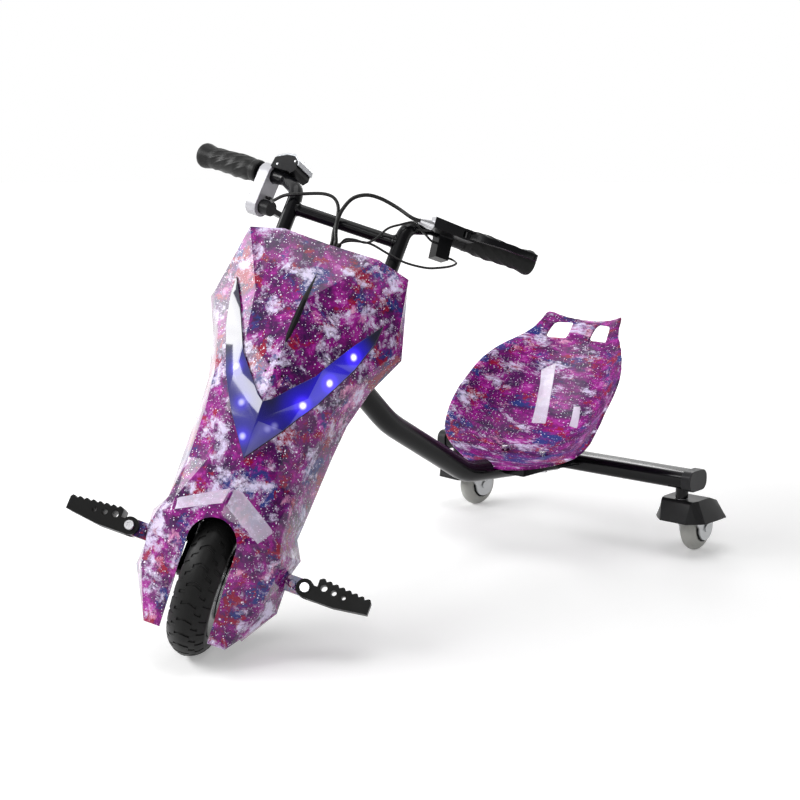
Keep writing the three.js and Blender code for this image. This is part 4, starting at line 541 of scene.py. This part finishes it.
# The grips are soft rubber sleeves pushed over the bar ends, waisted in the middle, with fine ribs
# winding round them and a swollen closed end.
grip_rubber = finish("grip_rubber", (0.008, 0.008, 0.008), 0.42, grain=260, depth=0.0004, gloss=0.18)
grip_radius, grip_bore, grip_start, grip_length, grip_step_share = 0.017, 0.0099, 0.047, 0.1055, 0.012
rib_count, rib_winding, rib_height, ribbed_radius = 9, 34, 0.0009, 0.0145
ribs_start_share, ribs_end_share, ribs_fade_share = 0.12, 0.8, 0.06
grip_shares = [(0.8, 0), (0.88, 0.02), (0.88, 0.08), (0.84, 0.1), (0.88, 0.15), (0.92, 0.35), (0.87, 0.5),
               (0.84, 0.6), (0.85, 0.75), (0.86, 0.82), (0.95, 0.9), (1, 0.94), (1, 0.975), (0.94, 1),
               (0.3, 1.003), (0, 1.003)]
bar_places = {}
for side, sign in (("left", 1), ("right", -1)):
    corner, end = [Vector((sign * across, -ahead, up)) for across, up, ahead in (bar_corner, bar_end)]
    along = (end - corner).normalized() * sign
    back = Vector((0, 0, 1)).cross(along).normalized()
    bar_place = Matrix((along, back, along.cross(back))).transposed().to_4x4()
    bar_place.translation = corner
    bar_places[side] = front_place @ bar_place
    grip_line = [(grip_bore / grip_radius, 0)]
    for (radius, share), (next_radius, next_share) in zip(grip_shares, grip_shares[1:]):
        steps = max(1, round((next_share - share) / grip_step_share))
        grip_line += [(radius + (next_radius - radius) * i / steps, share + (next_share - share) * i / steps)
                      for i in range(steps)]
    grip_line.append(grip_shares[-1])
    grip_bm = spun([(grip_radius * radius, sign * (grip_start + grip_length * share))
                    for radius, share in grip_line], 96)
    for vert in grip_bm.verts:
        share = (sign * vert.co.x - grip_start) / grip_length
        wave = max(math.sin(rib_count * math.atan2(vert.co.y, vert.co.z) + rib_winding * share), 0)
        from_ends = min(max(share - ribs_start_share, 0), max(ribs_end_share - share, 0), ribs_fade_share)
        swell = 1 + wave * from_ends / ribs_fade_share * rib_height / ribbed_radius
        vert.co = Vector((vert.co.x, vert.co.y * swell, vert.co.z * swell))
    grip_bm.transform(bar_places[side])
    grip_piece = new_piece("grip_sleeve_" + side, grip_bm, [grip_rubber], "steering", 40)
    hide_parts("grip_" + side)

# On the rider's right the thumb throttle is a light grey clamp with its drum and paddle below the bar, and
# a black charge indicator with a clear cover stands over the bar beside it.
light_grey = finish("light_grey_plastic", (0.5, 0.5, 0.53), 0.28, coat=0.3, grain=500, depth=0.00005)
clear_cover = finish("smoky_clear_plastic", (0.6, 0.62, 0.65), 0.1, coat=0.5, grain=200, depth=0.00002)
least_facing_up = 0.35
pod_screws, pod_screw_back = ((-0.012, 0.0115), (0.0135, 0.0215)), -0.0169
throttle_tilt = math.radians(8)
signal_spot, seam_spot = (-0.0245, -0.0138, -0.012), (-0.03, -0.0139, -0.0375)
seam_radius, seam_length = 0.0005, 0.0165
facing_along = Matrix.Rotation(math.radians(90), 4, "Y")
facing_up = Matrix.Rotation(math.radians(-90), 4, "Y")
dressed("throttle_body", light_grey, 0.0022, 4)
dressed("throttle_lever", black_satin, 0.0014, 3)
pod = dressed("indicator_pod", black_satin, 0.002, 4)
pod.data.materials.append(clear_cover)
to_right_bar = bar_places["right"].inverted().to_3x3()
for face in pod.data.polygons:
    if (to_right_bar @ face.normal).z > least_facing_up:
        face.material_index = 1
dressed("indicator_lens", clear_cover, 0.0012, 3)


def domed_stud(name, place, radius, height, material, body):
    quarter = [math.radians(angle) for angle in range(0, 91, 15)]
    profile = [(radius * math.cos(angle), height * math.sin(angle)) for angle in quarter]
    new_piece(name, spun(profile, 24, place @ facing_up), [material], body)


for number, (along, up) in enumerate(pod_screws):
    place = bar_places["right"] @ Matrix.Translation((along, pod_screw_back, up)) @ facing_ahead
    domed_stud(f"pod_screw_{number}", place, 0.0017, 0.0009, bright_steel, "steering")
throttle_place = bar_places["right"] @ Matrix.Rotation(throttle_tilt, 4, "X")
signal, signal_tree, signal_surface = node_material("signal_lamp")
signal_grain = linked(signal_tree, "ShaderNodeTexNoise", Vector=coords_of(signal_tree), Scale=900.0)
signal_rough = ranged(signal_tree, signal_grain.outputs["Fac"], 0, 1, 0.25, 0.4)
fit(signal_tree, signal_surface, Roughness=signal_rough, Base_Color=(0.45, 0.55, 0.1, 1))
signal_place = throttle_place @ Matrix.Translation(signal_spot) @ facing_ahead
domed_stud("throttle_lamp", signal_place, 0.0014, 0.0009, signal, "steering")
seam_bm = bmesh.new()
bmesh.ops.create_cone(seam_bm, cap_ends=True, segments=12, radius1=seam_radius, radius2=seam_radius,
                      depth=seam_length)
seam_bm.transform(throttle_place @ Matrix.Translation(seam_spot) @ facing_along)
new_piece("throttle_seam", seam_bm, [black_satin], "steering")

# On the rider's left a black lever perch clamps the bar, with a bright barrel adjuster on its inner end for
# the brake cable. The switch box hangs beside it, with a pale horn button on its front.
adjuster_start = -0.0168
perch_screw_spot = (0.012, -0.0192, 0.0088)
perch_place = bar_places["left"] @ Matrix.Rotation(math.radians(6), 4, "X")
dressed("brake_lever", gloss_black, 0.0022, 3)
perch = dressed("brake_perch", black_satin, 0.0012, 3)
perch.data.materials.append(bright_steel)
to_left_bar = bar_places["left"].inverted()
for face in perch.data.polygons:
    if (to_left_bar @ face.center).x < adjuster_start:
        face.material_index = 1
screw_place = perch_place @ Matrix.Translation(perch_screw_spot)
domed_stud("perch_screw", screw_place, 0.0022, 0.0012, bright_steel, "steering")
dressed("switch_box", black_satin, 0.0018, 3)
dressed("horn_button", light_grey, 0.001, 3)

# The brake cable, the throttle's wire and the switch wires arch over the brace and go down into the
# housing through one rubber grommet. Each is a smooth black sheath, and the thin ones share a sleeve.
# Routes are in millimetres: across, up from a level just below the grommet's top, and ahead.
cable_black = finish("cable_black", (0.006, 0.006, 0.006), 0.3, grain=500, depth=0.00005, gloss=0.28)
route_level, grommet_top = 0.52, 0.5236
brake_route = [(54, 86, 46), (30, 89, 50), (14, 86, 54), (0, 75, 58), (-7, 54, 62), (-7, 35, 64),
               (-3, 20, 65)]
throttle_route = [(-97, 45, 40), (-85, 53, 48), (-62, 60, 56), (-35, 68, 59), (-23, 67, 59),
                  (-14.5, 59, 59), (-9.5, 42, 58), (-8, 25, 58), (-5.5, 14, 58)]
upper_route = [(95, 70, 34), (80, 74, 44), (66, 64, 50), (54, 53, 54), (45, 35, 57), (36, 25, 58),
               (20, 23, 60), (10, 20, 60), (6, 12, 60)]
lower_route = [(146, 54, 6), (141, 43, 20), (129, 32, 33), (116, 24, 42), (89, 19, 50), (66, 22, 52),
               (40, 27.5, 51), (27, 26, 51), (12, 21, 52), (3.5, 13, 53)]
sleeve_foot = (0.004, -0.0565, grommet_top)
sleeve_profile = [(0.0026, 0), (0.0034, 0.0004), (0.0034, 0.0086), (0.0026, 0.009)]


def sheath_line(stops, steps=6):
    ends = [2 * stops[0] - stops[1], *stops, 2 * stops[-1] - stops[-2]]
    line = [stops[0]]
    for before, start, end, after in zip(ends, ends[1:], ends[2:], ends[3:]):
        lead, span, follow = [(b - a).length ** 0.5 for a, b in ((before, start), (start, end), (end, after))]
        out = span * ((start - before) / lead - (end - before) / (lead + span) + (end - start) / span)
        into = span * ((end - start) / span - (after - start) / (span + follow) + (after - end) / follow)
        for step in range(1, steps + 1):
            t = step / steps
            bend = (3 * (end - start) - 2 * out - into) * t ** 2 + (2 * (start - end) + out + into) * t ** 3
            line.append(start + out * t + bend)
    return line


def free_cable(name, mouth, leaving, route, entry, radius):
    between = [front(across / 1000, route_level + up / 1000, ahead / 1000) for across, up, ahead in route]
    last = [front(entry[0], grommet_top + 3 * radius, entry[1]), front(entry[0], grommet_top, entry[1])]
    line = sheath_line([mouth, mouth + leaving * 4 * radius, *between, *last])
    piece = tube(name, line, radius, cable_black, "steering")
    length = sum((b - a).length for a, b in zip(line, line[1:]))
    return piece, round(length, 4)


def leaves(place, along):
    return (place.to_3x3() @ Vector((along, 0, 0))).normalized()


mouth = perch_place @ Vector((-0.0353, -0.036, -0.004))
brake_cable, length = free_cable("brake_cable_sheath", mouth, leaves(perch_place, -1), brake_route,
                                 (0.0005, 0.0645), 0.0025)
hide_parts("brake_cable")
mouth = throttle_place @ Vector((-0.0207, 0, -0.0302))
throttle_wire, length = free_cable("throttle_wire_sheath", mouth, leaves(throttle_place, 1), throttle_route,
                                   (-0.005, 0.058), 0.0022)
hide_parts("throttle_wire")
mouth = bar_places["left"] @ Vector((0.0087, -0.005, -0.0185))
upper_wire, length = free_cable("switch_wire_upper", mouth, leaves(bar_places["left"], -1), upper_route,
                                (0.004, 0.058), 0.0015)
sleeve_bm = spun(sleeve_profile, 24, front_place @ Matrix.Translation(sleeve_foot) @ facing_up)
wire_sleeve = new_piece("switch_wire_sleeve", sleeve_bm, [cable_black], "steering")
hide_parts("switch_wires")
mouth = bar_places["left"] @ Vector((0.0286, -0.005, -0.0325))
lower_wire, length = free_cable("switch_wire_lower", mouth, leaves(bar_places["left"], 1), lower_route,
                                (0.004, 0.055), 0.0015)
dressed("cable_grommet", grip_rubber, segments=3)

# The main tube is 32 mm steel, bent down behind the head tube and run flat under the seat to the
# crossbar, a rounded box section with moulded caps. Gusset plates and the seat's saddle are welded on.
dressed("main_tube", gloss_black, 0.0004)
dressed("crossbar", gloss_black, 0.0012, 3)
dressed("seat_bracket", gloss_black, 0.0015, 3)
cap_grey = finish("cap_grey", (0.018, 0.018, 0.02), 0.42, grain=420, depth=0.0002, gloss=0.22)
for side in ("left", "right"):
    dressed("end_cap_" + side, cap_grey, 0.0035, 4)

# The bucket seat is a 5 mm moulded shell with the same print, drawn into streaks where the film was
# stretched over the pan. Two hand holes and two raised facets are moulded into its back.
seat_facet_height = 0.0014
tall_facet = [(-0.0495, 0.3849, 0.2553), (-0.0454, 0.3773, 0.2355), (-0.0399, 0.3545, 0.205),
              (-0.0379, 0.3452, 0.1759), (-0.0137, 0.3494, 0.1768), (-0.0199, 0.3676, 0.2065),
              (-0.0272, 0.3945, 0.2678)]
short_facet = [(0.0276, 0.367, 0.2067), (0.0328, 0.3486, 0.1789), (0.052, 0.3427, 0.1783),
               (0.041, 0.3653, 0.2085)]
seat_print = night_print("night_print_on_seat", (0.5, 1.2, 1.6), (0.7, 0.3, 0.5), roughness=0.36, coat=0.05,
                         gloss=0.15, pale=0.54)
seat_piece = new_piece("seat_moulding", merged("seat_shell", 0), [seat_print], "frame", 50)
rounding = seat_piece.modifiers.new("rounding", "SUBSURF")
rounding.levels = rounding.render_levels = 1
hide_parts("seat_shell")
seat_skin = BVHTree.FromObject(seat_piece, bpy.context.evaluated_depsgraph_get())
# The seat facets' print carries a painted reflection, a pale haze laid over it.
seat_facet_painted_reflection = night_print("seat_print_with_painted_reflection_on_facets", (0.6, 1, 1), (0.4, 0.9, 0.1), coat=0.3, painted_reflection=0.8)
for name, outline in (("tall", tall_facet), ("short", short_facet)):
    raised_facet("seat_facet_" + name, [Vector(place) for place in outline], seat_skin, seat_facet_height,
                 seat_facet_painted_reflection, "frame")
for side in ("left", "right"):
    dressed("seat_bolt_" + side, bright_steel, segments=3)

# Each caster: a turned stem welded under the crossbar, a pale steel fork on its kingpin, a dark moulded
# mudguard clipped over the fork, and a soft off-white wheel on a black hub.
caster_grey = finish("caster_grey", (0.012, 0.012, 0.013), 0.42, grain=320, depth=0.0003, gloss=0.25)
wheel_pale = finish("pale_polyurethane", (0.5, 0.5, 0.47), 0.4, grain=250, depth=0.0001)
fork_pale = finish("zinc_plate", (0.55, 0.56, 0.57), 0.35, metallic=0.7, grain=400, depth=0.00008)
tread_shares = [(0, 1), (0.2, 1), (0.4, 0.94), (0.62, 0.79), (0.8, 0.6), (0.92, 0.4), (0.98, 0.2), (1, 0)]
caster_radius, caster_bore, caster_half_width = 0.0365, 0.018, 0.013
caster_turns = {"left": 0, "right": -6}
for side, yaw in caster_turns.items():
    caster_turn = Matrix.Rotation(math.radians(yaw), 4, "Z")
    caster_place = Matrix.Translation(joint_at[f"caster_{side}_spin"]) @ caster_turn
    right = [(caster_bore + out * (caster_radius - caster_bore), across * caster_half_width)
             for out, across in tread_shares]
    left = [(radius, -across) for radius, across in reversed(right[:-1])]
    tread_bm = spun([*right, *left, right[0]], 64, caster_place)
    tread = new_piece("caster_wheel_tread_" + side, tread_bm, [wheel_pale], "caster_wheel_" + side, 40)
    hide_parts("caster_tread_" + side)
    dressed("caster_hub_" + side, black_satin, 0.0005)
    dressed("caster_fork_" + side, fork_pale)
    dressed("caster_fender_" + side, caster_grey, 0.002, 3)
    dressed("caster_stem_" + side, gloss_black, 0.001, 3)
